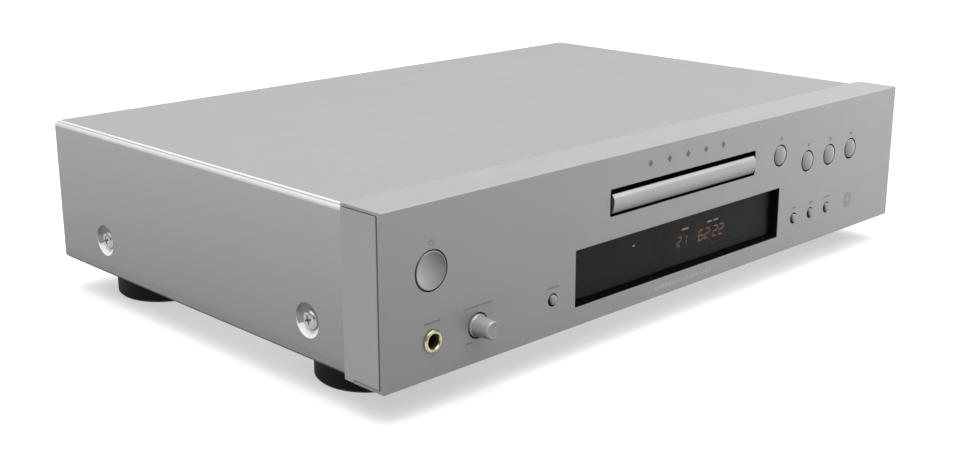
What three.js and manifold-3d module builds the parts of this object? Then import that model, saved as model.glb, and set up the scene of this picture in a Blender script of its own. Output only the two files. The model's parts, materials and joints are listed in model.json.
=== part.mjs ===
// A full-width hi-fi disc player with a motorised tray, in millimetres.
// Row frame: +X to the right as seen from the front, +Y towards the rear, +Z up. The origin is
// the centre of the overall footprint, on the plane the feet stand on.
// Everything is drawn in the cabinet group, whose origin is the middle of the front face's
// lower edge, with y as depth behind the front face.
import * as THREE from "three";
import { mergeVertices } from "three/addons/utils/BufferGeometryUtils.js";
import Module from "manifold-3d";

const wasm = await Module();
wasm.setup();

// ---------- driving dimensions ----------
const FACET_SHARE = 0.42; // share of each round surface's nominal side count that is built
const FOOT_DROP = 16.2; // feet stand this far below the panel's lower edge
const FRONT_Y = -143; // front face in the row frame
const PANEL = {
  width: 435, height: 84.8, thickness: 3.5,
  upperLip: 1.5, upperDepth: 27.5, lowerLip: 1.3, lowerDepth: 21,
};
const SHEET = 1.2; // steel sheet thickness
const COVER = { width: 434, top: 83.4, bottom: 2.1, front: 27.8, rear: 288 };
// dished seats for the cover screws; y lists the front and rear ones
const DISH = { y: [55.4, 240], z: 21.75, radius: 8.5, floorRadius: 6, depth: 2.8 };
const SCREW_HOLE = 2.3; // radius
const FOOT = { x: 177.5, y: [57.2, 242.9], radius: 28 };
const TRAY_SLOT = { x: 63.8, z0: 53.2, z1: 67.4 };
const WINDOW = { x: 89.7, z0: 10.2, z1: 40.5 };
const ROW_Z = 18.7; // height of the lower row of controls
const KNOB = { x: -158.7, hole: 6.45, base: 5.75, body: 5.15, tip: 4.5, out: 10.5 };
const JACK = { x: -188, hole: 5, bore: 3.25 };
const BOARD_Y = 18; // front face of the control board
const DISC = { y: 78, radius: 60.5, smallRadius: 40.5 }; // large and small disc recesses
const HINGE = { y: 178, z: 48 }; // axis of the traverse
const PIN = { x: 30, z: 46.3, radius: 1.5 }; // the traverse's front pins
const SIDES = [["left", -1], ["right", 1]];
const ENDS = [["front", 0], ["rear", 1]];

// Button kinds. The front face is a profile of [radius, y] from the axis outwards.
// gap: from the stem's end to the control board; sides: nominal side count.
const POWER = {
  radius: 9.55, hole: 10, sides: 36, frameHole: 12.2, frameSides: 24, flange: 11.6, gap: 2.1,
  face: [[0, 1.15], [4, 0.85], [7.2, 0.3], [8.8, -0.1], [9.4, -0.2], [9.55, -0.05]],
};
const TRANSPORT = {
  radius: 6.1, hole: 6.55, sides: 28, frameHole: 8.2, frameSides: 20, flange: 7.6, gap: 1.6,
  face: [[0, -0.9], [2.6, -0.78], [4.6, -0.5], [5.7, -0.15], [6.1, 0.3]],
};
const SMALL = {
  radius: 2.85, hole: 3.4, sides: 20, frameHole: 4.9, frameSides: 16, flange: 4.4, gap: 1.4,
  face: [[0, -2.0], [1.5, -1.9], [2.4, -1.5], [2.85, -0.9]],
};
// name, x, z, kind
const BUTTONS = [
  ["power_button", -188, 52.4, POWER],
  ["eject_button", 89.2, 60.2, TRANSPORT],
  ["stop_button", 118.8, 52.2, TRANSPORT],
  ["pause_button", 142.8, 52.2, TRANSPORT],
  ["play_button", 166.8, 52.2, TRANSPORT],
  ["previous_button", 107.2, ROW_Z, SMALL],
  ["next_button", 125.2, ROW_Z, SMALL],
  ["repeat_button", 143.2, ROW_Z, SMALL],
  ["display_button", -106.6, ROW_Z, SMALL],
];

// [x, z] of the rear sockets
const SOCKET = {
  left: [150, 44], right: [150, 26], coaxial: [112, 26],
  optical: [88, 26], remote: [184, 24], mains: [-180, 34],
};

// ---------- solid helpers ----------
function solid(geometry) {
  const bare = geometry.index ? geometry.toNonIndexed() : geometry.clone();
  for (const key of Object.keys(bare.attributes)) if (key !== "position") bare.deleteAttribute(key);
  const merged = mergeVertices(bare, 1e-4);
  const index = merged.index.array;
  const triangles = [];
  for (let i = 0; i < index.length; i += 3) {
    const [a, b, c] = index.subarray(i, i + 3);
    if (a !== b && b !== c && a !== c) triangles.push(a, b, c);
  }
  const build = () => new wasm.Manifold(new wasm.Mesh({
    numProp: 3,
    vertProperties: new Float32Array(merged.attributes.position.array),
    triVerts: new Uint32Array(triangles),
  }));
  const shape = build();
  if (shape.volume() >= 0) return shape;
  // the surface is inside out, so turn every triangle over
  for (let i = 0; i < triangles.length; i += 3) {
    [triangles[i + 1], triangles[i + 2]] = [triangles[i + 2], triangles[i + 1]];
  }
  return build();
}
const join = (...shapes) => shapes.flat().reduce((a, b) => a.add(b));
const cut = (body, ...tools) => tools.flat().reduce((a, b) => a.subtract(b), body);

function box(x0, x1, y0, y1, z0, z1) {
  const block = new THREE.BoxGeometry(x1 - x0, y1 - y0, z1 - z0);
  return solid(block.translate((x0 + x1) / 2, (y0 + y1) / 2, (z0 + z1) / 2));
}
// a box reaching x to either side of the middle
const across = (x, ...yz) => box(-x, x, ...yz);
// a box on the +X side and its mirror image on the -X side
const pair = (x0, x1, ...yz) => [box(-x1, -x0, ...yz), box(x0, x1, ...yz)];

// cylinders along Y, Z and X
const facets = (sides) => Math.max(12, 4 * Math.round((sides * FACET_SHARE) / 4));
const cylinder = (radius, length, sides, endRadius = radius) =>
  new THREE.CylinderGeometry(endRadius, radius, length, facets(sides));
const rodY = (x, z, radius, y0, y1, sides) =>
  solid(cylinder(radius, y1 - y0, sides).translate(x, (y0 + y1) / 2, z));
const rodZ = (x, y, radius, z0, z1, sides) =>
  solid(cylinder(radius, z1 - z0, sides).rotateX(Math.PI / 2).translate(x, y, (z0 + z1) / 2));
const rodX = (y, z, radius, x0, x1, sides, endRadius) => solid(
  cylinder(radius, x1 - x0, sides, endRadius).rotateZ(-Math.PI / 2).translate((x0 + x1) / 2, y, z));
// rodX drawn for the +X side (side 1) or mirrored to the -X side (side -1)
const sideRodX = (side, y, z, radius, x0, x1, sides, endRadius = radius) =>
  side > 0
    ? rodX(y, z, radius, x0, x1, sides, endRadius)
    : rodX(y, z, endRadius, -x1, -x0, sides, radius);

const vectors = (points) => points.map(([x, y]) => new THREE.Vector2(x, y));
const extrude = (points, depth) =>
  new THREE.ExtrudeGeometry(new THREE.Shape(vectors(points)), { depth, bevelEnabled: false });
// a closed outline in the XY plane, raised from z0 to z1
const plate = (points, z0, z1) => solid(extrude(points, z1 - z0).translate(0, 0, z0));
// a closed outline in the XZ plane, run from y0 to y1
const runY = (points, y0, y1) =>
  solid(extrude(points, y1 - y0).rotateX(Math.PI / 2).translate(0, y1, 0));
// a profile of [radius, height along the axis] turned about an axis through the origin
const lathe = (profile, sides) => new THREE.LatheGeometry(vectors(profile), facets(sides));
const turnZ = (profile, sides) => solid(lathe(profile, sides).rotateX(Math.PI / 2));
const turnY = (profile, sides) => solid(lathe(profile, sides));
// closed profile of a plain tube
const tube = (bore, radius, from, to) =>
  [[bore, from], [radius, from], [radius, to], [bore, to], [bore, from]];

// ---------- gear helpers ----------
const PRESSURE_ANGLE = Math.PI / 9;

// Involute spur gear, its teeth thinned so that meshed gears run free.
function gear({ module, teeth, z0, z1, phase, thin }) {
  const pitch = (module * teeth) / 2;
  const base = pitch * Math.cos(PRESSURE_ANGLE);
  const tip = pitch + 0.85 * module;
  const root = pitch - 1.15 * module;
  const involute = (radius) => {
    const angle = Math.acos(Math.min(1, base / radius));
    return Math.tan(angle) - angle;
  };
  const halfTooth = Math.PI / (2 * teeth) - thin / (2 * pitch) + involute(pitch);
  const flank = (teeth > 24 ? [root, tip] : [root, pitch, tip])
    .map((radius) => [radius, halfTooth - involute(Math.max(radius, base))]);
  const returning = flank.slice().reverse();
  const points = [];
  const addPoint = (radius, angle) =>
    points.push([radius * Math.cos(angle), radius * Math.sin(angle)]);
  for (let i = 0; i < teeth; i++) {
    const centre = phase + (2 * Math.PI * i) / teeth;
    for (const [radius, angle] of flank) addPoint(radius, centre - angle);
    for (const [radius, angle] of returning) addPoint(radius, centre + angle);
  }
  return plate(points, z0, z1);
}

// Straight rack along Y with teeth on its -X (side -1) or +X (side 1) side.
function rack({ module, pitchX, backX, y0, y1, z0, z1, toothY, side, thin }) {
  const pitch = Math.PI * module;
  const slope = Math.tan(PRESSURE_ANGLE);
  const tipX = pitchX + side * 0.8 * module;
  const rootX = pitchX - side * 1.15 * module;
  const halfTip = pitch / 4 - thin / 2 - 0.8 * module * slope;
  const halfRoot = pitch / 4 - thin / 2 + 1.15 * module * slope;
  const points = [[backX, y0], [rootX, y0]];
  for (let k = Math.ceil((y0 - toothY + halfRoot) / pitch); toothY + k * pitch + halfRoot < y1; k++) {
    const y = toothY + k * pitch;
    points.push([rootX, y - halfRoot], [tipX, y - halfTip], [tipX, y + halfTip], [rootX, y + halfRoot]);
  }
  points.push([rootX, y1], [backX, y1]);
  return plate(points, z0, z1);
}

// ---------- cabinet and finishes ----------
const cabinet = new THREE.Group();
cabinet.position.set(0, FRONT_Y, FOOT_DROP);

// colour, roughness, metalness
const FINISHES = {
  aluminium: [0xa9aaab, 0.38, 0.9],
  silver_paint: [0xa3a4a5, 0.42, 0.55],
  steel: [0xb8babc, 0.35, 0.9],
  black_plastic: [0x151516, 0.6, 0],
  black_steel: [0x1c1c1e, 0.5, 0.4],
  rubber: [0x101011, 0.85, 0],
  gold: [0xc9a24a, 0.25, 1],
  window: [0x0b0b0d, 0.08, 0],
  glass: [0x2a2e30, 0.1, 0],
  board: [0x1f5a36, 0.55, 0],
  white_plastic: [0xd9d9d4, 0.5, 0],
  grey_plastic: [0x4a4b4d, 0.55, 0],
  copper: [0xa8622e, 0.4, 0.8],
  belt: [0x0c0c0c, 0.9, 0],
};

function add(name, shape, finish, origin = [0, 0, 0]) {
  const { vertProperties, triVerts } = shape.getMesh();
  const flat = new THREE.BufferGeometry()
    .setAttribute("position", new THREE.BufferAttribute(vertProperties, 3))
    .setIndex(new THREE.BufferAttribute(triVerts, 1))
    .toNonIndexed();
  flat.computeVertexNormals();
  const [color, roughness, metalness] = FINISHES[finish];
  const material = new THREE.MeshStandardMaterial({ color, roughness, metalness });
  const mesh = new THREE.Mesh(flat, material);
  mesh.name = name;
  mesh.position.set(...origin);
  cabinet.add(mesh);
}

// ---------- casing ----------
const halfPanel = PANEL.width / 2;
const halfCover = COVER.width / 2;
// a block the size of the window opening, drawn in by the given insets
const windowBlock = (inset, y0, y1, insetZ = inset) =>
  across(WINDOW.x - inset, y0, y1, WINDOW.z0 + insetZ, WINDOW.z1 - insetZ);

function frontPanel() {
  const { height, thickness, upperLip, upperDepth, lowerLip, lowerDepth } = PANEL;
  const body = join(
    across(halfPanel, 0, thickness, 0, height),
    across(halfPanel, 1, upperDepth, height - upperLip, height),
    across(halfPanel, 1, lowerDepth, 0, lowerLip),
  );
  return cut(body,
    across(TRAY_SLOT.x, -1, 5, TRAY_SLOT.z0, TRAY_SLOT.z1),
    windowBlock(0, -1, 5),
    BUTTONS.map(([, x, z, kind]) => rodY(x, z, kind.hole, -1, 5, kind.sides)),
    rodY(KNOB.x, ROW_Z, KNOB.hole, -1, 5, 28),
    rodY(JACK.x, ROW_Z, JACK.hole, -1, 5, 24),
  );
}
add("front_panel", frontPanel(), "aluminium");

// each joins an outer plate, a strip at its lower rear and a block on its inner face
const endCaps = [
  pair(214.4, halfPanel - 0.1, 4, PANEL.upperDepth, 1.6, 83),
  pair(214.4, halfPanel - 0.1, 21.6, PANEL.upperDepth, 0.1, 2),
  pair(212.9, 215, 7, 25, 6, 79),
];
SIDES.forEach(([name], i) =>
  add(`end_cap_${name}`, join(endCaps.map((parts) => parts[i])), "silver_paint"));

// folded sheet, open underneath, with inturned lower lips
function topCover() {
  const { top, bottom, front, rear } = COVER;
  const width = halfCover;
  const lip = 8;
  const bend = 3; // upper corner radius
  const lowerBend = 1.5;
  const quarter = Math.PI / 2;
  const arc = (x, z, radius, from, to, steps) => Array.from({ length: steps + 1 }, (_, i) => {
    const angle = from + ((to - from) * i) / steps;
    return [x + radius * Math.cos(angle), z + radius * Math.sin(angle)];
  });
  const outline = [
    [width - lip, bottom],
    ...arc(width - lowerBend, bottom + lowerBend, lowerBend, -quarter, 0, 2),
    ...arc(width - bend, top - bend, bend, 0, quarter, 4),
    ...arc(-width + bend, top - bend, bend, quarter, 2 * quarter, 4),
    ...arc(-width + lowerBend, bottom + lowerBend, lowerBend, 2 * quarter, 3 * quarter, 2),
    [-width + lip, bottom], [-width + lip, bottom + SHEET], [-width + SHEET, bottom + SHEET],
    ...arc(-width + bend, top - bend, bend - SHEET, 2 * quarter, quarter, 3),
    ...arc(width - bend, top - bend, bend - SHEET, quarter, 0, 3),
    [width - SHEET, bottom + SHEET], [width - lip, bottom + SHEET],
  ];
  let cover = runY(outline, front, rear);
  for (const [, side] of SIDES) {
    for (const y of DISH.y) {
      const cone = (radius, x0, x1, endRadius) =>
        sideRodX(side, y, DISH.z, radius, x0, x1, 28, endRadius);
      const floor = width - DISH.depth;
      cover = cut(cover.add(cone(7.2, floor - 1, width - 0.6, 9.3)),
        cone(DISH.floorRadius, floor, width + 0.02, DISH.radius),
        cone(SCREW_HOLE, width - 6, width));
    }
    // bevel under the rear corner, drawn as depth by height and turned to run along X
    const bevel = [[rear - 3.6, bottom - 1], [rear + 1, bottom - 1], [rear + 1, bottom + 2.2]];
    const wedge = plate(bevel, 0, 12).rotate([90, 0, 90]);
    cover = cut(cover, wedge.translate([side > 0 ? 206 : -218, 0, 0]));
  }
  return cover;
}
add("top_cover", topCover(), "silver_paint");

function bottomChassis() {
  const width = 212.6;
  const front = 28.2;
  const rear = 284.8;
  const floor = 3.5;
  const posts = [[92, 118], [198, 118], [92, 250], [198, 250]]; // x, y
  const body = join(
    across(width, front, rear, floor, floor + SHEET),
    pair(width - SHEET, width, front, rear, floor, 34),
    across(width, front, front + SHEET, floor, 24),
    posts.map(([x, y]) => rodZ(x, y, 3, floor + 0.5, 9.7, 10)),
  );
  const openings = [];
  for (const x of [-150, 135]) {
    for (let i = 0; i < 5; i++) {
      const slotX = x - 22 + 11 * i;
      openings.push(box(slotX, slotX + 4, 108, 146, floor - 1, floor + 2));
    }
  }
  for (const [, side] of SIDES) {
    for (const y of DISH.y) {
      openings.push(sideRodX(side, y, DISH.z, SCREW_HOLE, width - 4, width + 1, 16));
    }
    for (const y of FOOT.y) openings.push(rodZ(side * FOOT.x, y, 2, floor - 1, floor + 2, 12));
  }
  return cut(body, openings);
}
add("bottom_chassis", bottomChassis(), "steel");

function rearPanel() {
  const { left, right, coaxial, optical: [opticalX, opticalZ], remote, mains: [mainsX, mainsZ] } =
    SOCKET;
  const slots = Array.from({ length: 9 }, (_, i) =>
    box(-118 + 11 * i, -114 + 11 * i, 284, 288, 56, 74));
  return cut(join(across(212.2, 285.2, 286.4, 5.2, 81.6), across(205, 279, 285.6, 80.2, 81.4)),
    [left, right, coaxial].map((place) => rodY(...place, 4.6, 280, 290, 20)),
    box(opticalX - 5.3, opticalX + 5.3, 280, 290, opticalZ - 5.3, opticalZ + 5.3),
    rodY(...remote, 3.4, 280, 290, 16),
    box(mainsX - 14, mainsX + 14, 284, 290, mainsZ - 10.4, mainsZ + 10.4),
    slots,
  );
}
add("rear_panel", rearPanel(), "black_steel");

// plate behind the front panel, with a rim turned back and a raised surround in the window
function frontFrame() {
  const width = 211.8;
  const bottom = 2.4;
  const top = 82.4;
  const body = join(
    across(width, 3.9, 6.4, bottom, top),
    across(width, 5, 24, top - 1.5, top),
    across(width, 5, 24, bottom, bottom + 1.5),
    pair(width - 2, width, 5, 24, bottom, top),
    windowBlock(0.2, 0.3, 5),
  );
  return cut(body,
    across(TRAY_SLOT.x - 0.5, 0, 30, TRAY_SLOT.z0 + 0.2, TRAY_SLOT.z1 - 0.2),
    windowBlock(1, -2, 7),
    BUTTONS.map(([, x, z, kind]) => rodY(x, z, kind.frameHole, 0, 30, kind.frameSides)),
    rodY(KNOB.x, ROW_Z, 7.2, 0, 30, 20),
    rodY(JACK.x, ROW_Z, 6.4, 0, 30, 20),
  );
}
add("front_frame", frontFrame(), "black_plastic");

// the window's raised middle fills the recess; its flange lies behind the frame
add("display_window", join(windowBlock(-1.8, 6.7, 8.7, -1.6), windowBlock(1.3, 4.5, 7)), "window");
const displayTube = join(
  box(-46, 66, 10, 15, 13.5, 37),
  rodY(-50, 34, 1.6, 10.6, 14.4, 10),
  box(-50, -45, 11.2, 13.8, 33, 35),
);
add("display_tube", displayTube, "glass");
const controlBoard = join(
  box(-206, 206, BOARD_Y, BOARD_Y + 1.6, 5, 44),
  box(-206, -168, BOARD_Y, BOARD_Y + 1.6, 40, 68),
  box(80, 206, BOARD_Y, BOARD_Y + 1.6, 40, 72),
);
add("control_board", controlBoard, "board");

function foot() {
  const { radius } = FOOT;
  const top = FOOT_DROP + 3.2;
  return turnZ([
    [0, 8], [5.5, 8], [5.5, 0], [radius - 2.2, 0], [radius - 0.8, 0.6], [radius - 0.3, 1.8],
    [radius, 8], [radius, top], [0, top],
  ], 36);
}
for (const [end, row] of ENDS) {
  for (const [name, side] of SIDES) {
    add(`foot_${end}_${name}`, foot(), "rubber", [side * FOOT.x, FOOT.y[row], -FOOT_DROP]);
  }
}

// domed cross-recess screw along X, its seat at the origin and its head on the outer side
function coverScrew(side) {
  const profile = [
    [0, -9], [1.9, -9], [1.9, 0.12], [4.7, 0.12], [4.7, 1.3], [4, 2], [2.6, 2.4], [0, 2.5],
  ];
  const turned = solid(new THREE.LatheGeometry(vectors(profile), 16).rotateZ(-Math.PI / 2));
  const screw = cut(turned,
    box(1.3, 4, -2.6, 2.6, -0.55, 0.55),
    box(1.3, 4, -0.55, 0.55, -2.6, 2.6));
  return side < 0 ? screw.rotate([0, 0, 180]) : screw;
}
for (const [name, side] of SIDES) {
  for (const [end, row] of ENDS) {
    const origin = [side * (halfCover - DISH.depth), DISH.y[row], DISH.z];
    add(`cover_screw_${name}_${end}`, coverScrew(side), "steel", origin);
  }
}

// ---------- front controls, each about its own centre with y = 0 at the front face ----------
function button({ face, radius, flange, gap, sides }) {
  const end = BOARD_Y - gap;
  return turnY([
    ...face, [radius, 3.7], [flange, 4.3], [flange, 5.6], [2.6, 5.6], [2.2, end], [0, end],
  ], sides);
}
for (const [name, x, z, kind] of BUTTONS) add(name, button(kind), "aluminium", [x, 0, z]);

function volumeKnob() {
  const { base, body, tip, out } = KNOB;
  const knob = turnY([
    [0, -out + 0.15], [3.6, -out + 0.05], [tip - 0.35, -out], [tip, -out + 0.4], [body, -0.9],
    [base, -0.5], [base, 1.6], [3, 1.6], [3, 15.5], [0, 15.5],
  ], 32);
  const pointerNotch = box(-6, -5.3, -0.6, 0.6, -0.3, 0.3);
  return cut(knob, pointerNotch);
}
const potentiometer = cut(
  join(across(8.2, 9.5, 16.8, -8.2, 8.2), rodY(0, 0, 4.4, 7, 10, 20)),
  rodY(0, 0, 3.2, 0, 16, 24),
);
add("volume_knob", volumeKnob(), "aluminium", [KNOB.x, 0, ROW_Z]);
add("volume_potentiometer", potentiometer, "grey_plastic", [KNOB.x, 0, ROW_Z]);

const headphoneJack = cut(
  join(across(7.6, 7, 17.3, -8.5, 8.5), turnY(tube(JACK.bore, 4.2, 0.4, 7.2), 24)),
  rodY(0, 0, JACK.bore, 0, 15, 24),
);
const jackCollar = turnY([
  [JACK.bore, -0.9], [3.7, -1.5], [4.7, -1.5], [5.3, -0.9], [5.45, -0.15], [4.75, -0.15],
  [4.75, 3], [4.35, 3], [4.35, -0.1], [JACK.bore, -0.1], [JACK.bore, -0.9],
], 32);
add("headphone_jack", headphoneJack, "black_plastic", [JACK.x, 0, ROW_Z]);
add("headphone_jack_collar", jackCollar, "gold", [JACK.x, 0, ROW_Z]);

// ---------- disc tray ----------
const LID = { x: 62.4, y0: -1.4, y1: 4.3, z0: 54.8, z1: 65.5 };
const TRAY = {
  x: 62.5, y0: 4.6, y1: 190, z0: 56.5, z1: 63,
  floor: 60.5, smallFloor: 59.3, // floors of the large and small disc recesses
  opening: 18, // half-width of the opening through the floor
};
const TRAY_GEAR = { x: 42, y: 38, teeth: 14, module: 1.25, wheelTeeth: 36, wheelModule: 0.8 };

function discTray() {
  const { x, y0, y1, z0, z1, floor, smallFloor, opening } = TRAY;
  const { module, teeth } = TRAY_GEAR;
  const body = cut(across(x, y0, y1, z0, z1),
    rodZ(0, DISC.y, DISC.radius, floor, z1 + 1, 66),
    rodZ(0, DISC.y, DISC.smallRadius, smallFloor, z1, 46),
    rodZ(0, DISC.y, opening, z0 - 1, z1 + 1, 28),
    across(opening, DISC.y, y1 + 1, z0 - 1, z1 + 1),
    // lightening pockets underneath, left and right of the opening
    box(-58, -22, 12, 184, z0 - 1, z0 + 1.4),
    box(22, 47, 12, 184, z0 - 1, z0 + 1.4),
  );
  return body.add(rack({
    module, pitchX: TRAY_GEAR.x + (module * teeth) / 2, backX: 55.2,
    y0: 32, y1: 182, z0: 54, z1: z0 + 0.2,
    toothY: TRAY_GEAR.y + (Math.PI * module) / 2, side: -1, thin: 0.16,
  }));
}
add("disc_tray", discTray(), "black_plastic");

// bar along X with its upper and lower front edges stepped back
function trayLid() {
  const { x, y0, y1, z0, z1 } = LID;
  const steps = [[0, 1.9], [0.25, 1.1], [0.75, 0.4], [1.6, 0]]; // inset, distance behind the front
  return join(steps.map(([inset, back]) =>
    across(x - Math.min(inset, 0.3), y0 + back, y1, z0 + inset * 1.2, z1 - inset)));
}
add("tray_lid", trayLid(), "aluminium");

// ---------- loader ----------
const MOTOR = { x: -12, y: 39, groove: 3 }; // groove: pulley radius at the groove's floor
const PULLEY_GEAR = { y: 36, teeth: 12, groove: 11 };
const gearCentres = (TRAY_GEAR.wheelModule * (TRAY_GEAR.wheelTeeth + PULLEY_GEAR.teeth)) / 2;
PULLEY_GEAR.x = TRAY_GEAR.x - Math.sqrt(gearCentres ** 2 - (TRAY_GEAR.y - PULLEY_GEAR.y) ** 2);
const GEAR_BORE = 1.75;

function loaderBase() {
  const floor = 34;
  // an axle with a wider shoulder that its gear rests above
  const axle = ({ x, y }, top, shoulder) =>
    [rodZ(x, y, 1.6, floor + 1, top, 16), rodZ(x, y, 4, floor + 1, shoulder, 16)];
  const body = join(
    across(67, 26, 196, floor, floor + 2),
    pair(63.2, 67, 26, 196, floor, 66.5), // side walls
    pair(58, 65, 26, 196, 51.5, 56.2), // ledges along the walls
    pair(61.3, 66, 30, 58, 63.4, 65.2), // upper tabs, front then rear
    pair(61.3, 66, 110, 190, 63.4, 65.2),
    across(67, 193.5, 196, floor, 55.5), // rear wall
    pair(58, 66, 32, 40, 5, floor + 1), // corner legs, front then rear
    pair(58, 66, 187, 195, 5, floor + 1),
    pair(47.5, 64, 173, 183, 42, 53), // hinge blocks
    across(60, 52.6, 54, floor + 1, 39.5), // ribs in front of and behind the cam slider
    pair(34, 60, 58.2, 59.6, floor + 1, 39.5),
    across(26, 58.2, 59.6, floor + 1, 39.5),
    axle(TRAY_GEAR, 55.8, 49.4),
    axle(PULLEY_GEAR, 52.6, 45.8),
  );
  return cut(body,
    across(46, 59.6, 190, floor - 1, floor + 3),
    rodZ(MOTOR.x, MOTOR.y, 12.4, floor - 1, floor + 3, 28),
    rodX(HINGE.y, HINGE.z, 2.15, -60, 60, 20),
  );
}
add("loader_base", loaderBase(), "black_plastic");

// sheet-metal bridge with two legs down the loader's sides
const clampBridge = cut(
  join(across(70, 60, 96, 67.4, 68.8), pair(67.4, 70, 60, 96, 52, 68.8)),
  rodZ(0, DISC.y, 12.2, 66, 70, 32),
  pair(26, 52, 66, 90, 66, 70),
);
add("clamp_bridge", clampBridge, "steel");
const clampPuck = turnZ([
  [0, 64.5], [14.4, 64.5], [14.4, 66.4], [11.6, 66.8], [11.6, 69.3], [13.6, 69.3],
  [13.6, 70.3], [6, 70.3], [5.5, 69.6], [0, 69.6],
], 36);
add("clamp_puck", clampPuck, "black_plastic", [0, DISC.y, 0]);

const loadingMotor = join(
  rodZ(MOTOR.x, MOTOR.y, 12, 24, 44.6, 28),
  rodZ(MOTOR.x, MOTOR.y, 3, 44, 45.6, 16),
  rodZ(MOTOR.x, MOTOR.y, 1, 45, 49.4, 12),
);
add("loading_motor", loadingMotor, "steel");

function pulley(bore, groove, top, sides) {
  const rim = groove + 2;
  return turnZ([
    [bore, 46.2], [rim, 46.2], [rim, 46.8], [groove, 47.2], [groove, 48.8], [rim, 49.2],
    [rim, top], [bore, top], [bore, 46.2],
  ], sides);
}
add("motor_pulley", pulley(1.15, MOTOR.groove, 49.8, 20), "white_plastic", [MOTOR.x, MOTOR.y, 0]);

// Gear phases are set so that a tooth faces a gap at both meshes.
const gearBore = () => rodZ(0, 0, GEAR_BORE, 45, 58, 16);

function trayDriveGear() {
  const { module, teeth, wheelModule, wheelTeeth } = TRAY_GEAR;
  // the pinion has a tooth along +X, where the rack has a gap
  const pinion = gear({ module, teeth, z0: 53.8, z1: 56.2, phase: 0, thin: 0.16 });
  const wheel = gear({
    module: wheelModule, teeth: wheelTeeth, z0: 50.2, z1: 52.4, phase: 0, thin: 0.14,
  });
  return cut(join(pinion, wheel, rodZ(0, 0, 5, 49.8, 54, 20)), gearBore());
}
add("tray_drive_gear", trayDriveGear(), "white_plastic", [TRAY_GEAR.x, TRAY_GEAR.y, 0]);

function pulleyGear() {
  const { x, y, teeth, groove } = PULLEY_GEAR;
  const { wheelModule, wheelTeeth } = TRAY_GEAR;
  const toWheel = Math.atan2(TRAY_GEAR.y - y, TRAY_GEAR.x - x);
  // the angle from the wheel to this gear, in wheel teeth, sets this gear's phase
  const fraction = (((toWheel + Math.PI) / (2 * Math.PI)) * wheelTeeth) % 1;
  const phase = toWheel + ((0.5 + fraction) * 2 * Math.PI) / teeth;
  const small = gear({ module: wheelModule, teeth, z0: 50.2, z1: 52.6, phase, thin: 0.14 });
  const hub = turnZ(tube(GEAR_BORE, 3.6, 49, 50.4), 20);
  return join(pulley(GEAR_BORE, groove, 49.6, 36), hub, cut(small, gearBore()));
}
add("pulley_gear", pulleyGear(), "white_plastic", [PULLEY_GEAR.x, PULLEY_GEAR.y, 0]);

// the belt's outline at a given distance outside the two groove floors
function beltOutline(offset) {
  const dx = MOTOR.x - PULLEY_GEAR.x;
  const dy = MOTOR.y - PULLEY_GEAR.y;
  const large = PULLEY_GEAR.groove + offset;
  const small = MOTOR.groove + offset;
  const heading = Math.atan2(dy, dx);
  const wrap = Math.acos((large - small) / Math.hypot(dx, dy));
  const arc = ({ x, y }, radius, from, sweep, steps) => Array.from({ length: steps + 1 }, (_, i) => {
    const angle = from + (sweep * i) / steps;
    return [x + radius * Math.cos(angle), y + radius * Math.sin(angle)];
  });
  return [
    ...arc(PULLEY_GEAR, large, heading + wrap, 2 * Math.PI - 2 * wrap, 28),
    ...arc(MOTOR, small, heading - wrap, 2 * wrap, 14),
  ];
}
const driveBelt = cut(plate(beltOutline(1.7), 47.35, 48.65), plate(beltOutline(0.3), 46, 50));
add("drive_belt", driveBelt, "belt");

// sloping slots carry the traverse's front pins; the slider moves -X, so they fall towards +X
function camSlider() {
  const fall = 7.39;
  const run = 16;
  const halfSlot = 1.9;
  const overrun = 0.6;
  const length = Math.hypot(run, fall);
  const [ux, uz] = [run / length, -fall / length];
  const [nx, nz] = [-uz * halfSlot, ux * halfSlot];
  const slot = (x) => {
    const [x0, z0] = [x - ux * overrun, PIN.z - uz * overrun];
    const [x1, z1] = [x + run + ux * overrun, PIN.z - fall + uz * overrun];
    return [
      runY([[x0 + nx, z0 + nz], [x0 - nx, z0 - nz], [x1 - nx, z1 - nz], [x1 + nx, z1 + nz]], 54, 58),
      rodY(x0, z0, halfSlot, 54, 58, 16),
      rodY(x1, z1, halfSlot, 54, 58, 16),
    ];
  };
  return cut(box(-36, 52, 54.6, 57.6, 36.3, 52),
    slot(-PIN.x), slot(PIN.x), box(-20, -4, 54, 58, 38.5, 50));
}
add("cam_slider", camSlider(), "white_plastic");

// ---------- traverse ----------
const GUIDE = { x: 26, z: 50.5, radius: 1.5, bore: 1.65 }; // guide rods
const LENS_Y = 101;
const SLED_GEAR = { x: 36, y: 130, teeth: 14, module: 0.6 };
const guideBores = (y0, y1) =>
  [-GUIDE.x, GUIDE.x].map((x) => rodY(x, GUIDE.z, GUIDE.bore, y0, y1, 16));

function traverseFrame() {
  const body = join(
    across(44, 60.4, 172, 44.5, 48.1),
    pair(37, 44, 170, 181, 45, 51), // hinge arms
    across(44, 170, 173, 44.5, 50),
    SIDES.map(([, side]) => sideRodX(side, HINGE.y, HINGE.z, 2, 42, 50.5, 20)),
    [-PIN.x, PIN.x].map((x) => rodY(x, PIN.z, PIN.radius, 54.4, 61, 16)),
    pair(22.5, 29.2, 89.6, 92.8, 47, 53.2), // guide rod holders, front then rear
    pair(22.5, 29.2, 168.4, 171.6, 47, 53.2),
  );
  return cut(body,
    across(30, 93, 168, 44, 49),
    rodZ(0, DISC.y, 4.6, 44, 49, 20),
    guideBores(88, 174),
    rodZ(SLED_GEAR.x, SLED_GEAR.y, 2.4, 44, 49, 16),
  );
}
add("traverse_frame", traverseFrame(), "black_plastic");

const spindleMotor = join(rodZ(0, 0, 12, 35, 44.2, 28), rodZ(0, 0, 4.2, 44, 47.4, 20));
add("spindle_motor", spindleMotor, "steel", [0, DISC.y, 0]);
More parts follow.
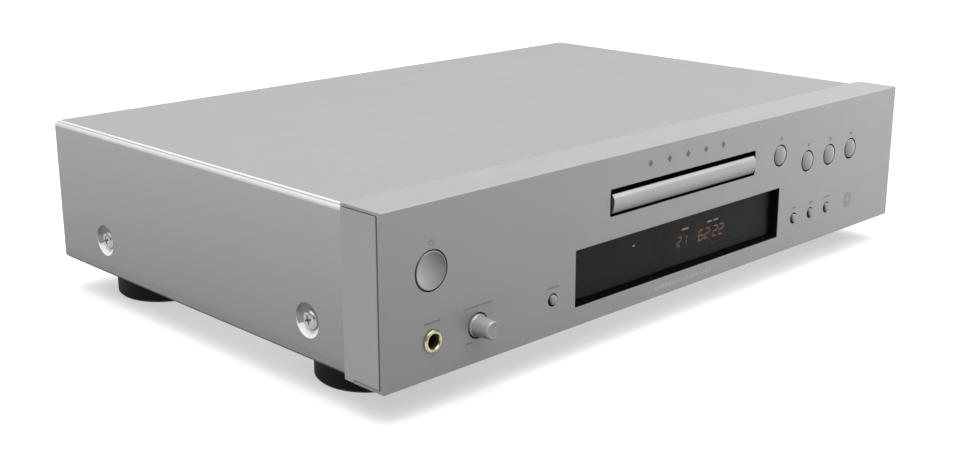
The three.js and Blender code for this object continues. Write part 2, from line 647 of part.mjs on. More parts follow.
// the disc's seat is at z 61.5 and the centring hub's top at z 64
const turntable = turnZ([
  [0, 47.8], [2.6, 47.8], [2.6, 57.4], [13.4, 57.8], [14.5, 58.6], [14.5, 61.5],
  [7.4, 61.5], [7.4, 62.6], [6.2, 64], [0, 64],
], 36);
add("turntable", turntable, "black_plastic", [0, DISC.y, 0]);
for (const [name, side] of SIDES) {
  const rod = rodY(side * GUIDE.x, GUIDE.z, GUIDE.radius, 89.8, 171.4, 16);
  add(`guide_rod_${name}`, rod, "steel");
}

function pickupSled() {
  const { x, y, teeth, module } = SLED_GEAR;
  const body = join(
    across(22, 94.5, 126, 46.5, 53.6),
    box(-30, -21, 98, 122, 48.4, 53.2), // left and right rod bearings
    box(21, 29.4, 105, 113, 48.4, 53.2),
    across(9, 93.6, 110, 53, 58.2), // block around the lens
    box(21, 30.8, 113.2, 117, 51.9, 53.2), // arm to the rack
    rack({
      module, pitchX: x - (module * teeth) / 2, backX: 29.6, y0: 95, y1: 134,
      z0: 49.6, z1: 52.4, toothY: y + (Math.PI * module) / 2, side: 1, thin: 0.14,
    }),
  );
  return cut(body, guideBores(90, 130), rodZ(0, LENS_Y, 4.3, 55.4, 60, 24));
}
add("pickup_sled", pickupSled(), "grey_plastic");
const lens = turnZ([[0, 56.4], [3.7, 56.4], [3.7, 58.4], [3, 58.8], [1.6, 59.15], [0, 59.25]], 24);
add("objective_lens", lens, "glass", [0, LENS_Y, 0]);

function sledGear() {
  const { module, teeth } = SLED_GEAR;
  const wheel = gear({ module, teeth, z0: 49.7, z1: 52.3, phase: Math.PI, thin: 0.14 });
  return cut(wheel.add(rodZ(0, 0, 2, 45.2, 50, 16)), rodZ(0, 0, 0.9, 44, 54, 12));
}
const sledMotor = join(
  rodZ(0, 0, 8, 32, 43.6, 24),
  rodZ(0, 0, 2.2, 43.4, 44.9, 16),
  rodZ(0, 0, 0.7, 44, 52.2, 12),
);
add("sled_gear", sledGear(), "white_plastic", [SLED_GEAR.x, SLED_GEAR.y, 0]);
add("sled_motor", sledMotor, "steel", [SLED_GEAR.x, SLED_GEAR.y, 0]);

// ---------- electronics ----------
const BOARD_TOP = 11.9; // height at which the parts above the main board stand

const mainBoard = cut(box(84, 206, 108, 282, 10, 11.6), box(198, 210, 270, 290, 9, 13));
add("main_board", mainBoard, "board");

function transformer() {
  const core = cut(across(33, -18, 18, 0, 55), pair(10, 22, -20, 20, 11, 44));
  const coil = cut(across(21.6, -29, 29, 11.4, 43.6), across(9.99, -17.99, 17.99, 11, 44));
  return join(core, coil, pair(32, 40, -12, 12, 0, 1.6));
}
add("power_transformer", transformer(), "copper", [-150, 196, 5]);

const capacitor = turnZ([
  [0, 0], [8.6, 0], [9, 0.4], [9, 3], [8.6, 3.6], [9, 4.2], [9, 29], [8.4, 30], [0, 30],
], 24);
add("filter_capacitor", capacitor, "black_steel", [128, 150, BOARD_TOP]);

const fins = Array.from({ length: 8 }, (_, i) =>
  box(-28 + 7.6 * i, -26.2 + 7.6 * i, 2, 16, 0, 30));
add("heat_sink", join(across(28, 0, 3, 0, 30), fins), "black_steel", [168, 178, BOARD_TOP]);

// round socket: a sleeve with a thicker ring inside its front end
function phonoSocket([x, z]) {
  const sleeve = turnY([
    [3.3, 284.6], [4.3, 284.6], [4.3, 296], [4, 296.5], [3.5, 296.5], [3.3, 296.2], [3.3, 284.6],
  ], 24);
  return sleeve.add(turnY(tube(1.4, 4.3, 284.2, 289), 24)).translate([x, 0, z]);
}
function opticalSocket([x, z]) {
  return cut(box(x - 5, x + 5, 284, 288.5, z - 5, z + 5),
    box(x - 3.6, x + 3.6, 286.5, 290, z - 3.6, z + 3.6));
}
const analogJacks = join(
  box(141, 159, 268, 284.8, 12, 53),
  phonoSocket(SOCKET.left),
  phonoSocket(SOCKET.right),
);
const digitalJacks = join(
  box(80, 120, 268, 284.8, 12, 36),
  phonoSocket(SOCKET.coaxial),
  opticalSocket(SOCKET.optical),
);
const remoteJack = cut(
  join(box(178, 190, 270, 284.8, 12, 32), rodY(...SOCKET.remote, 3.1, 284, 288, 20)),
  rodY(...SOCKET.remote, 1.8, 276, 290, 16),
);
add("analog_output_jacks", analogJacks, "gold");
add("digital_output_jacks", digitalJacks, "black_plastic");
add("remote_jack", remoteJack, "black_plastic");

function powerInlet([x, z]) {
  const block = (dx, y0, y1, dz) => box(x - dx, x + dx, y0, y1, z - dz, z + dz);
  const shell = cut(join(block(13.6, 268, 288, 10), block(20, 286.7, 288.6, 12)),
    block(11.6, 272, 290, 7.6));
  const pins = [[-7, -1.5], [7, -1.5], [0, 3]].map(([dx, dz]) =>
    box(x + dx - 1, x + dx + 1, 271, 285, z + dz - 2, z + dz + 2));
  return join(shell, pins);
}
add("power_inlet", powerInlet(SOCKET.mains), "black_plastic");

// flat cable from the loader down to the main board
function flatCable() {
  const path = [[50, 33.2], [72, 30], [80, 24], [90, 14], [104, 12.4]]; // x, z of its underside
  const upper = path.map(([x, z]) => [x, z + 0.6]).reverse();
  return runY([...path, ...upper], 150, 168);
}
add("flat_cable", flatCable(), "white_plastic");

export default cabinet;
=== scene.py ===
# A full-width hi-fi disc player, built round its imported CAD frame.
# Lengths are millimetres in the cabinet's own frame: x runs across from the middle, y behind the
# front face, z above the front panel's lower edge. A piece is turned to metres in the row frame
# when it becomes an object. Shader positions are metres in the row frame.
import json
import math

import bmesh
import bpy
from mathutils import Matrix, Vector


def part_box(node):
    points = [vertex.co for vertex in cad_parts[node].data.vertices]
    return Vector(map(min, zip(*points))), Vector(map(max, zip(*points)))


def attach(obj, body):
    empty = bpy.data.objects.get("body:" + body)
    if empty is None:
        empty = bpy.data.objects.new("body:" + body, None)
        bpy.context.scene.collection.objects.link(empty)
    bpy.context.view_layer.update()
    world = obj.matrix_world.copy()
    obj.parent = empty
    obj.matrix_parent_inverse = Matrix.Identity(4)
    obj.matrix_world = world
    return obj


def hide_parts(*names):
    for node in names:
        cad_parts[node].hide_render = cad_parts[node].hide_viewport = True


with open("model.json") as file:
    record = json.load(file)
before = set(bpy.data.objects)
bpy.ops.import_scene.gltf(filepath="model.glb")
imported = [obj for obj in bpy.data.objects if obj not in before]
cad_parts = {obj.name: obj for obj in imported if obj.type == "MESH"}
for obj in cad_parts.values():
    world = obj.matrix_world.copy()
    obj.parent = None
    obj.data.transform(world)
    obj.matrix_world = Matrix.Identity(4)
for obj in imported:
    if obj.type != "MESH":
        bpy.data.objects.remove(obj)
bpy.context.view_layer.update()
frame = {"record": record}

_low, _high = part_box("front_panel")
ORIGIN = Vector(((_low.x + _high.x) / 2, _low.y, _low.z))
TO_ROW = Matrix.Translation(ORIGIN) @ Matrix.Scale(0.001, 4)
SLOT = {sub["node"]: sub["material_slot"] for sub in frame["record"]["subparts"]}
BODY = {node: body for body, nodes in frame["record"]["behaviour"]["bodies"].items()
        for node in nodes}
TAU = 2 * math.pi
QUARTER = math.pi / 2


def middle(node):
    """Middle of a CAD node in cabinet millimetres."""
    low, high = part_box(node)
    c = ((low + high) / 2 - ORIGIN) * 1000
    return c.x, c.y, c.z


def face_spot(node):
    """Where a control sits on the front face: (x, z)."""
    x, _, z = middle(node)
    return x, z


# ------------------------------------------------------------------ main dimensions
PANEL_HALF = 217.5
PANEL_H = 84.8
TRAY_SLOT = (-63.8, 63.8, 52.9, 67.4)   # x0, x1, z0, z1
WINDOW = (-89.7, 90.5, 10.2, 40.5)      # x0, x1, z0, z1
COVER_HALF, COVER_TOP, COVER_BOTTOM = 217.0, 83.4, 2.1
COVER_FRONT, COVER_REAR, COVER_T = 28.25, 288.0, 1.2
DISH_Y = (55.4, 240.0)                  # screw dishes on each side of the cover
DISH_Z = 21.75
TRIO_NODES = ["stop_button", "pause_button", "play_button"]
SMALL_NODES = ["previous_button", "next_button", "repeat_button"]
POWER, EJECT = face_spot("power_button"), face_spot("eject_button")
DISPLAY = face_spot("display_button")
TRIO = [face_spot(node) for node in TRIO_NODES]
SMALL = [face_spot(node) for node in SMALL_NODES]
KNOB, JACK = face_spot("volume_knob"), face_spot("headphone_jack_collar")


# ------------------------------------------------------------------ solids
# Turns two cross-section coordinates and a distance along the axis into x, y, z.
ALONG = {
    "X": lambda a, b, t: (t, a, b),
    "Y": lambda a, b, t: (a, t, b),
    "Z": lambda a, b, t: (a, b, t),
}


def mesh(verts, faces):
    me = bpy.data.meshes.new("solid")
    me.from_pydata([tuple(v) for v in verts], [], faces)
    bm = bmesh.new()
    bm.from_mesh(me)
    bmesh.ops.remove_doubles(bm, verts=bm.verts, dist=1e-5)
    bmesh.ops.recalc_face_normals(bm, faces=bm.faces)
    bm.to_mesh(me)
    bm.free()
    return me


def prism(outline, axis, t0, t1):
    n = len(outline)
    verts = [ALONG[axis](a, b, t) for t in (t0, t1) for a, b in outline]
    faces = [tuple(range(n)), tuple(range(2 * n - 1, n - 1, -1))]
    faces += [(i, (i + 1) % n, n + (i + 1) % n, n + i) for i in range(n)]
    return mesh(verts, faces)


def rect(a0, a1, b0, b1, r=0.0, n=5):
    """Rectangle outline with round corners."""
    if r <= 0:
        return [(a0, b0), (a1, b0), (a1, b1), (a0, b1)]
    points = []
    for ca, cb, start in ((a1 - r, b0 + r, -0.25), (a1 - r, b1 - r, 0.0),
                          (a0 + r, b1 - r, 0.25), (a0 + r, b0 + r, 0.5)):
        for i in range(n + 1):
            angle = TAU * (start + 0.25 * i / n)
            points.append((ca + r * math.cos(angle), cb + r * math.sin(angle)))
    return points


def slab(axis, a0, a1, b0, b1, t0, t1, r=0.0, n=5):
    """Rectangle with corner radius r, run along an axis from t0 to t1."""
    return prism(rect(a0, a1, b0, b1, r, n), axis, t0, t1)


def box(x0, x1, y0, y1, z0, z1):
    return slab("Z", x0, x1, y0, y1, z0, z1)


def rounded(points, every=0.0, closed=False, n=5):
    """Rounds a polyline's corners. A point is (a, b) or (a, b, radius); every is the default."""
    rows = [(*p, every)[:3] for p in points]
    rows = [p for i, p in enumerate(rows)
            if i == 0 or math.dist(p[:2], rows[i - 1][:2]) > 1e-6]
    out, count = [], len(rows)
    for i, (*spot, radius) in enumerate(rows):
        if (not closed and i in (0, count - 1)) or radius <= 0:
            out.append(tuple(spot))
            continue
        p = Vector(spot)
        a, b = Vector(rows[i - 1][:2]) - p, Vector(rows[(i + 1) % count][:2]) - p
        length_a, length_b = a.length, b.length
        a, b = a / length_a, b / length_b
        angle = a.angle(b)
        if angle > math.pi - 0.02:
            out.append(tuple(p))
            continue
        d = min(radius / math.tan(angle / 2), length_a * 0.49, length_b * 0.49)
        r = d * math.tan(angle / 2)
        c = p + (a + b).normalized() * (r / math.sin(angle / 2))
        start, end = p + a * d - c, p + b * d - c
        t0, t1 = math.atan2(start.y, start.x), math.atan2(end.y, end.x)
        turn = (t1 - t0 + math.pi) % TAU - math.pi
        for k in range(n + 1):
            t = t0 + turn * k / n
            out.append((c.x + r * math.cos(t), c.y + r * math.sin(t)))
    return out


def lathe(profile, axis, at=(0, 0, 0), seg=64):
    """Turns (radius, position) points about an axis through at.

    A profile that keeps off the axis at both ends is closed into a ring."""
    verts, rings = [], []

    def add(a, b, t):
        verts.append([o + d for o, d in zip(at, ALONG[axis](a, b, t))])

    for r, t in profile:
        if r <= 1e-6:
            rings.append([len(verts)] * seg)
            add(0, 0, t)
        else:
            rings.append(list(range(len(verts), len(verts) + seg)))
            for i in range(seg):
                add(r * math.cos(TAU * i / seg), r * math.sin(TAU * i / seg), t)
    pairs = list(zip(rings, rings[1:]))
    if profile[0][0] > 1e-6 and profile[-1][0] > 1e-6:
        pairs.append((rings[-1], rings[0]))
    faces = []
    for a, b in pairs:
        for i in range(seg):
            j = (i + 1) % seg
            face = []
            for v in (a[i], a[j], b[j], b[i]):
                if v not in face:
                    face.append(v)
            if len(face) > 2:
                faces.append(tuple(face))
    return mesh(verts, faces)


def rod(axis, at, r, t0, t1, seg):
    return lathe([(0, t0), (r, t0), (r, t1), (0, t1)], axis, at, seg)


def rod_x(y, z, r, x0, x1, seg=48):
    return rod("X", (0, y, z), r, x0, x1, seg)


def rod_y(x, z, r, y0, y1, seg=48):
    return rod("Y", (x, 0, z), r, y0, y1, seg)


def rod_z(x, y, r, z0, z1, seg=48):
    return rod("Z", (x, y, 0), r, z0, z1, seg)


def group(*meshes):
    """Meshes side by side in one; they don't touch one another."""
    bm = bmesh.new()
    for me in meshes:
        bm.from_mesh(me)
    out = bpy.data.meshes.new("group")
    bm.to_mesh(out)
    bm.free()
    return out


def boolean(a, b, operation):
    first, second = bpy.data.objects.new("op_a", a), bpy.data.objects.new("op_b", b)
    for o in (first, second):
        bpy.context.scene.collection.objects.link(o)
    # the manifold solver gives an empty result for input it can't take
    for solver in ("MANIFOLD", "EXACT"):
        first.modifiers.clear()
        m = first.modifiers.new("op", "BOOLEAN")
        m.object, m.operation, m.solver = second, operation, solver
        depsgraph = bpy.context.evaluated_depsgraph_get()
        result = bpy.data.meshes.new_from_object(first.evaluated_get(depsgraph))
        if len(result.polygons):
            break
    for o in (first, second):
        bpy.data.objects.remove(o)
    return result


def join(solid, *others):
    for other in others:
        solid = boolean(solid, other, "UNION")
    return solid


def cut(solid, *cutters):
    """Takes every cutter away; a group costs one operation."""
    for cutter in cutters:
        solid = boolean(solid, cutter, "DIFFERENCE")
    return solid


def moved(me, at, rotation=Matrix.Identity(4)):
    me.transform(Matrix.Translation(at) @ rotation)
    return me


# ------------------------------------------------------------------ objects
def tidy(me, split):
    bm = bmesh.new()
    bm.from_mesh(me)
    bmesh.ops.remove_doubles(bm, verts=bm.verts, dist=2e-4)
    bmesh.ops.dissolve_degenerate(bm, edges=bm.edges, dist=1e-4)
    bmesh.ops.dissolve_limit(bm, angle_limit=math.radians(0.3), verts=bm.verts, edges=bm.edges)
    if split:
        bmesh.ops.triangulate(bm, faces=[f for f in bm.faces if len(f.verts) > 4],
                              quad_method="BEAUTY", ngon_method="BEAUTY")
    bmesh.ops.recalc_face_normals(bm, faces=bm.faces)
    bm.to_mesh(me)
    bm.free()


def make_object(me, name, material, slot, node=None, body="cabinet", bevel=0.2, seg=2, angle=32,
                clean=True, split=False, slide=True, miter="ARC"):
    """One visible solid. split, slide and miter keep a crowded outline's bevels from folding."""
    if clean:
        tidy(me, split)
    me.transform(TO_ROW)
    o = bpy.data.objects.new(name, me)
    me.name = name
    bpy.context.scene.collection.objects.link(o)
    me.materials.clear()
    me.materials.append(M[material])
    me.shade_smooth()
    if bevel:
        b = o.modifiers.new("edge", "BEVEL")
        b.width, b.segments = bevel / 1000, seg
        b.limit_method, b.angle_limit = "ANGLE", math.radians(angle)
        b.use_clamp_overlap = False
        b.harden_normals = False
        b.miter_outer = "MITER_" + miter
        b.loop_slide = slide
    else:
        me.set_sharp_from_angle(angle=math.radians(angle))
    w = o.modifiers.new("shade", "WEIGHTED_NORMAL")
    w.keep_sharp, w.weight = True, 60
    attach(o, body)
    if node:
        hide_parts(node)


def part(me, node, material, name=None, **look):
    """A solid that takes the place of a CAD node."""
    make_object(me, name or f"{node}_fine", material, SLOT[node], node, **look)


def extra(me, name, material, slot, **look):
    """A solid that the CAD frame doesn't have."""
    make_object(me, name, material, slot, **look)


# ------------------------------------------------------------------ shader helpers
def times(colour, factor):
    return tuple(c * factor for c in colour)


class Shader:
    """A material's node tree, with short ways to add to it."""

    def __init__(self, name):
        self.mat = bpy.data.materials.new(name)
        self.mat.use_nodes = True
        self.tree = self.mat.node_tree
        self.surface = self.tree.nodes["Principled BSDF"]
        self.output = self.tree.nodes["Material Output"]
        self.coords = self.new("TexCoord").outputs["Object"]

    def new(self, kind, **settings):
        node = self.tree.nodes.new("ShaderNode" + kind)
        for key, value in settings.items():
            setattr(node, key, value)
        return node

    def feed(self, value, socket):
        """Links a socket's value, or sets a plain one; colours get their alpha here."""
        if isinstance(value, bpy.types.NodeSocket):
            self.tree.links.new(value, socket)
        elif socket.type == "RGBA":
            socket.default_value = (*value, 1.0)
        else:
            socket.default_value = value

    def put(self, **values):
        """Feeds the surface's inputs: base_color stands for Base Color, and so on."""
        for key, value in values.items():
            self.feed(value, self.surface.inputs[key.replace("_", " ").title()])

    def base(self):
        return self.surface.inputs["Base Color"].links[0].from_socket

    def texture(self, kind, inputs, stretch=(1, 1, 1), **settings):
        node = self.new(kind, **settings)
        for key, value in inputs.items():
            node.inputs[key].default_value = value
        mapping = self.new("Mapping")
        mapping.inputs["Scale"].default_value = stretch
        self.feed(self.coords, mapping.inputs["Vector"])
        self.feed(mapping.outputs["Vector"], node.inputs["Vector"])
        return node

    def noise(self, scale, detail=3.0, stretch=(1, 1, 1), rough=0.55):
        inputs = {"Scale": scale, "Detail": detail, "Roughness": rough}
        return self.texture("TexNoise", inputs, stretch).outputs["Fac"]

    def bands(self, direction, scale, distortion, detail=2.0):
        inputs = {"Scale": scale, "Distortion": distortion, "Detail": detail}
        return self.texture("TexWave", inputs, wave_type="BANDS",
                            bands_direction=direction).outputs["Fac"]

    def remap(self, value, to=(0, 1), over=(0.3, 0.7), **settings):
        """Maps the range over onto the range to."""
        node = self.new("MapRange", **settings)
        names = ("From Min", "From Max", "To Min", "To Max")
        for key, number in zip(names, (*over, *to)):
            node.inputs[key].default_value = number
        self.feed(value, node.inputs["Value"])
        return node.outputs["Result"]

    def math(self, operation, *values):
        node = self.new("Math", operation=operation)
        for value, socket in zip(values, node.inputs):
            self.feed(value, socket)
        return node.outputs[0]

    def scaled(self, colour, factor):
        node = self.new("VectorMath", operation="SCALE")
        self.feed(colour, node.inputs[0])
        self.feed(factor, node.inputs["Scale"])
        return node.outputs[0]

    def scale_base(self, factor):
        self.put(base_color=self.scaled(self.base(), factor))

    def blend(self, factor, a, b):
        node = self.new("Mix", data_type="RGBA")
        for value, index in ((factor, 0), (a, 6), (b, 7)):
            self.feed(value, node.inputs[index])
        return node.outputs[2]

    def bump(self, height, depth, after=None):
        """Relief of a depth in metres, laid over an earlier normal."""
        node = self.new("Bump")
        node.inputs["Strength"].default_value = 1.0
        node.inputs["Distance"].default_value = depth
        self.feed(height, node.inputs["Height"])
        if after is not None:
            self.feed(after, node.inputs["Normal"])
        return node.outputs["Normal"]

    def split_xyz(self, vector):
        node = self.new("SeparateXYZ")
        self.feed(vector, node.inputs[0])
        return node.outputs

    def place(self):
        return self.split_xyz(self.new("TexCoord").outputs["Object"])

    def normal(self):
        return self.split_xyz(self.new("NewGeometry").outputs["Normal"])

    def mix_surface(self, factor, first, second):
        node = self.new("MixShader")
        for value, socket in zip((factor, first, second), node.inputs):
            self.feed(value, socket)
        self.feed(node.outputs[0], self.output.inputs["Surface"])


def finish(name, colour, rough, metal=0.0, drift=0.05, drift_scale=30, grain=1800, depth=0.02,
           stretch=(1, 1, 1), rough_drift=0.05, coat=0.0, specular=0.5, tint=0.0):
    """A surface with slow colour drift, fine grain and uneven roughness.

    grain is the grain's scale, depth its relief in mm, tint its share of the colour."""
    sh = Shader(name)
    shade = sh.blend(sh.remap(sh.noise(drift_scale, detail=4)),
                     times(colour, 1 - drift), times(colour, 1 + drift))
    fine = sh.noise(grain, 2, stretch, 0.6)
    if tint:
        shade = sh.scaled(shade, sh.remap(fine, to=(1 - tint, 1 + tint), over=(0.25, 0.75)))
    sh.put(base_color=shade, metallic=metal, coat_weight=coat, coat_roughness=0.12)
    sh.surface.inputs["Specular IOR Level"].default_value = specular
    sh.put(roughness=sh.remap(sh.noise(drift_scale * 2.3, detail=5),
                              to=(rough - rough_drift, rough + rough_drift)))
    sh.put(normal=sh.bump(fine, depth / 1000))
    return sh


def paint_black_shade(sh, mask, colour, metal, specular):
    """Paints the surface black, as shade, where the mask is 1."""
    sh.put(base_color=sh.blend(mask, sh.base(), colour))
    for name, dark in (("Metallic", metal), ("Specular IOR Level", specular)):
        socket = sh.surface.inputs[name]
        sh.feed(sh.remap(mask, to=(socket.default_value, dark), over=(0, 1)), socket)


def paint_light_by_normal(sh, gain, direction=(0.70, 0.0, 0.71), least=0.35):
    """Painted light on metal, as under a soft light: a painted sheen that leans with the surface
    normal.
    """
    dot = sh.new("VectorMath", operation="DOT_PRODUCT")
    sh.feed(sh.new("NewGeometry").outputs["Normal"], dot.inputs[0])
    dot.inputs[1].default_value = direction
    painted_sheen = sh.math("MULTIPLY_ADD", dot.outputs["Value"], gain, 1.0)
    most = 1.6
    sh.scale_base(sh.math("MAXIMUM", sh.math("MINIMUM", painted_sheen, most), least))
    return sh


def dish_reach(sh, place):
    """Distance from the nearest dish's axis in metres, and height above that axis."""
    near = [sh.math("ABSOLUTE", sh.math("SUBTRACT", place["Y"], ORIGIN.y + y / 1000))
            for y in DISH_Y]
    near = sh.math("MINIMUM", *near)
    rise = sh.math("SUBTRACT", place["Z"], ORIGIN.z + DISH_Z / 1000)
    squares = sh.math("ADD", sh.math("POWER", near, 2.0),
                      sh.math("POWER", sh.math("ABSOLUTE", rise), 2.0))
    return sh.math("SQRT", squares), rise


# ------------------------------------------------------------------ materials with shading of place
def panel_material():
    """Satin anodised face, with painted light on it, whose cut-out walls, and everything behind the
    face, are painted black as shade.
    """
    sh = finish("satin_anodised_aluminium", colour=(0.252, 0.252, 0.253), rough=0.46, metal=0.15,
                drift=0.012, grain=2600, depth=0.004, tint=0.03, rough_drift=0.03)
    place = sh.place()
    # mask of the cut-out walls and everything behind the face, which are painted black as shade
    mask = sh.math("LESS_THAN", sh.math("ABSOLUTE", place["X"]), 0.2160)
    for axis, operation, limit in (("Y", "GREATER_THAN", ORIGIN.y + 0.00032),
                                   ("Z", "GREATER_THAN", ORIGIN.z + 0.0008),
                                   ("Z", "LESS_THAN", ORIGIN.z + 0.0839)):
        mask = sh.math("MULTIPLY", mask, sh.math(operation, place[axis], limit))
    # painted highlight: the upward-facing top lip is painted slightly brighter than the brushed
    # face
    up = sh.normal()["Z"]
    lip = sh.remap(up, over=(0.6, 0.95))
    # painted sheen: the face's painted light grows slowly to the right and upwards; its gains are
    # per metre
    gain_x, gain_z, lip_gain_x = 0.147 / 0.217, 0.197 / 0.085, 0.05 / 0.217
    painted_sheen = sh.math("MULTIPLY_ADD", sh.math("SUBTRACT", place["X"], ORIGIN.x), gain_x, 0.852)
    painted_sheen = sh.math("MULTIPLY_ADD", sh.math("SUBTRACT", place["Z"], ORIGIN.z), gain_z, painted_sheen)
    # painted highlight along the rounded upper edge
    painted_crest = sh.math("ABSOLUTE", sh.math("SUBTRACT", up, 0.6), 0.0)
    painted_crest = sh.math("MAXIMUM", sh.math("MULTIPLY_ADD", painted_crest, -1.3, 0.42), 0.0)
    painted_sheen = sh.math("MULTIPLY", painted_sheen, sh.math("ADD", painted_crest, 1.0))
    top = sh.math("MULTIPLY_ADD", sh.math("SUBTRACT", place["X"], ORIGIN.x), lip_gain_x, 1.24)
    painted_sheen = sh.math("MULTIPLY_ADD", lip, sh.math("SUBTRACT", top, painted_sheen), painted_sheen)
    sh.scale_base(painted_sheen)
    # paints the masked walls black as shade
    paint_black_shade(sh, mask, colour=(0.0035, 0.0035, 0.0035), metal=0.0, specular=0.1)
    return sh


def cover_material():
    """Satin silver paint; the rolled corners carry a painted highlight, broken by a fine duller
    line along the bend.
    """
    sh = finish("silver_cover_paint", colour=(0.262, 0.262, 0.263), rough=0.5, metal=0.05,
                drift=0.006, grain=3200, depth=0.0015, tint=0.035, rough_drift=0.02,
                specular=0.25)
    normal = sh.normal()
    across = sh.math("ABSOLUTE", normal["X"])
    # sideways lean of the surface, painted highlight there
    stops = [(0.0, 0.0), (0.06, 0.0), (0.12, 1.0), (0.38, 1.0), (0.45, 0.0),
             (0.60, 0.0), (0.66, 0.95), (0.93, 0.8), (0.985, 0.3), (1.0, 0.0)]
    ramp = sh.new("ValToRGB")
    ramp.color_ramp.interpolation = "LINEAR"
    elements = ramp.color_ramp.elements
    while len(elements) < len(stops):
        elements.new(0.5)
    for element, (position, painted_highlight) in zip(elements, stops):
        element.position = position
        element.color = (painted_highlight, painted_highlight, painted_highlight, 1)
    sh.feed(across, ramp.inputs[0])
    up = sh.remap(normal["Z"], over=(-0.05, 0.25))
    level = sh.math("LESS_THAN", sh.math("ABSOLUTE", normal["Y"]), 0.62)
    painted_highlight = sh.math("MULTIPLY", ramp.outputs["Color"], sh.math("MULTIPLY", up, level))
    # painted shade: the sides darken slightly towards their lower edge
    place = sh.place()
    fall = sh.remap(place["Z"], to=(0.81, 1.15), over=(ORIGIN.z + 0.004, ORIGIN.z + 0.078))
    shade = sh.math("MULTIPLY", sh.math("SUBTRACT", fall, 1.0), sh.math("POWER", across, 3.0))
    shade = sh.math("ADD", shade, 1.0)
    # painted shade darkens only the rolled lower edge, not the roofs of the dishes
    under = sh.remap(normal["Z"], to=(0.05, 1.0), over=(-0.25, 0.02))
    high = sh.remap(place["Z"], over=(ORIGIN.z + 0.005, ORIGIN.z + 0.008))
    shade = sh.math("MULTIPLY", shade, sh.math("MAXIMUM", under, high))
    # the roof of each dish is in its own shade, deepest at the rim
    reach, rise = dish_reach(sh, place)
    rim = sh.remap(reach, to=(0.06, 0.60), over=(0.0058, 0.0085))
    roof = sh.remap(normal["Z"], to=(1.0, 0.0), over=(-0.22, -0.06))
    inside = sh.math("MULTIPLY", sh.math("LESS_THAN", reach, 0.0091),
                     sh.math("GREATER_THAN", rise, -0.001))
    dim = sh.math("MULTIPLY", sh.math("MULTIPLY", rim, roof), inside)
    shade = sh.math("MULTIPLY", shade, sh.math("SUBTRACT", 1.0, dim))
    # the painted highlight is brighter in the dishes low on the sides than on the rolled corners
    painted_highlight_tone = sh.remap(place["Z"], to=(0.82, 0.56), over=(ORIGIN.z + 0.040, ORIGIN.z + 0.060))
    sh.put(base_color=sh.blend(painted_highlight, sh.scaled(sh.base(), shade), painted_highlight_tone))
    return sh


def lid_material():
    """Aluminium front skin, painted brighter towards its top, with painted shade at its ends;
    behind the skin the lid is painted black as shade.
    """
    sh = finish("lid_aluminium", colour=(0.305, 0.305, 0.306), rough=0.34, metal=0.3, drift=0.02,
                grain=900, stretch=(0.02, 1, 1), depth=0.003, tint=0.03)
    # painted light: the skin is painted brighter where it faces up and darker where it faces down
    paint_light_by_normal(sh, gain=1.25, direction=(0.0, 0.0, 1.0), least=0.25)
    # painted shade on the lid's end faces
    sideways = sh.math("ABSOLUTE", sh.normal()["X"])
    sh.scale_base(sh.remap(sideways, to=(1.0, 0.3), over=(0.5, 0.9)))
    # painted shade: the lid's top and everything behind its front skin are painted black
    behind = sh.remap(sh.place()["Y"], over=(ORIGIN.y + 0.0004, ORIGIN.y + 0.0007))
    paint_black_shade(sh, behind, colour=(0.006, 0.006, 0.006), metal=0.05, specular=0.05)
    return sh


def side_screw_material():
    """The turned edge of each screw's flange gets a painted highlight, standing in for the light of
    the dish round it.
    """
    sh = finish("silver_side_screw", colour=(0.38, 0.38, 0.382), rough=0.24, metal=0.6,
                drift=0.04, drift_scale=300, grain=3000, depth=0.002, rough_drift=0.06)
    highlight_gain = 2.4
    normal = sh.normal()
    reach, _ = dish_reach(sh, sh.place())
    edge = sh.math("MULTIPLY", sh.math("LESS_THAN", sh.math("ABSOLUTE", normal["X"]), 0.6),
                   sh.math("GREATER_THAN", reach, 0.0042))
    sh.scale_base(sh.math("ADD", 1.0, sh.math("MULTIPLY", edge, highlight_gain - 1.0)))
    return sh


TURNED = dict(drift=0.02, depth=0.003, tint=0.03, rough_drift=0.03)


def button_material():
    sh = finish("turned_aluminium", colour=(0.222, 0.222, 0.223), rough=0.36, metal=0.3,
                grain=2600, **TURNED)
    # painted light: the face is painted brighter where it leans up and to the right, and darker
    # where it leans away
    return paint_light_by_normal(sh, gain=2.2, least=0.3)


def nub_material():
    sh = finish("small_turned_aluminium", colour=(0.20, 0.20, 0.201), rough=0.4, metal=0.3,
                grain=2600, **TURNED)
    # painted light and shade: brighter where the face leans up and to the right, the side walls
    # painted nearly black as shade
    return paint_light_by_normal(sh, gain=1.7, least=0.04)


def knob_material():
    sh = finish("knob_aluminium", colour=(0.235, 0.235, 0.236), rough=0.34, metal=0.35,
                grain=2200, stretch=(1, 0.05, 1), **TURNED)
    # painted light: the knob is painted brighter where it faces up and darker where it faces down
    return paint_light_by_normal(sh, gain=1.45, direction=(-0.25, 0.12, 0.96), least=0.2)


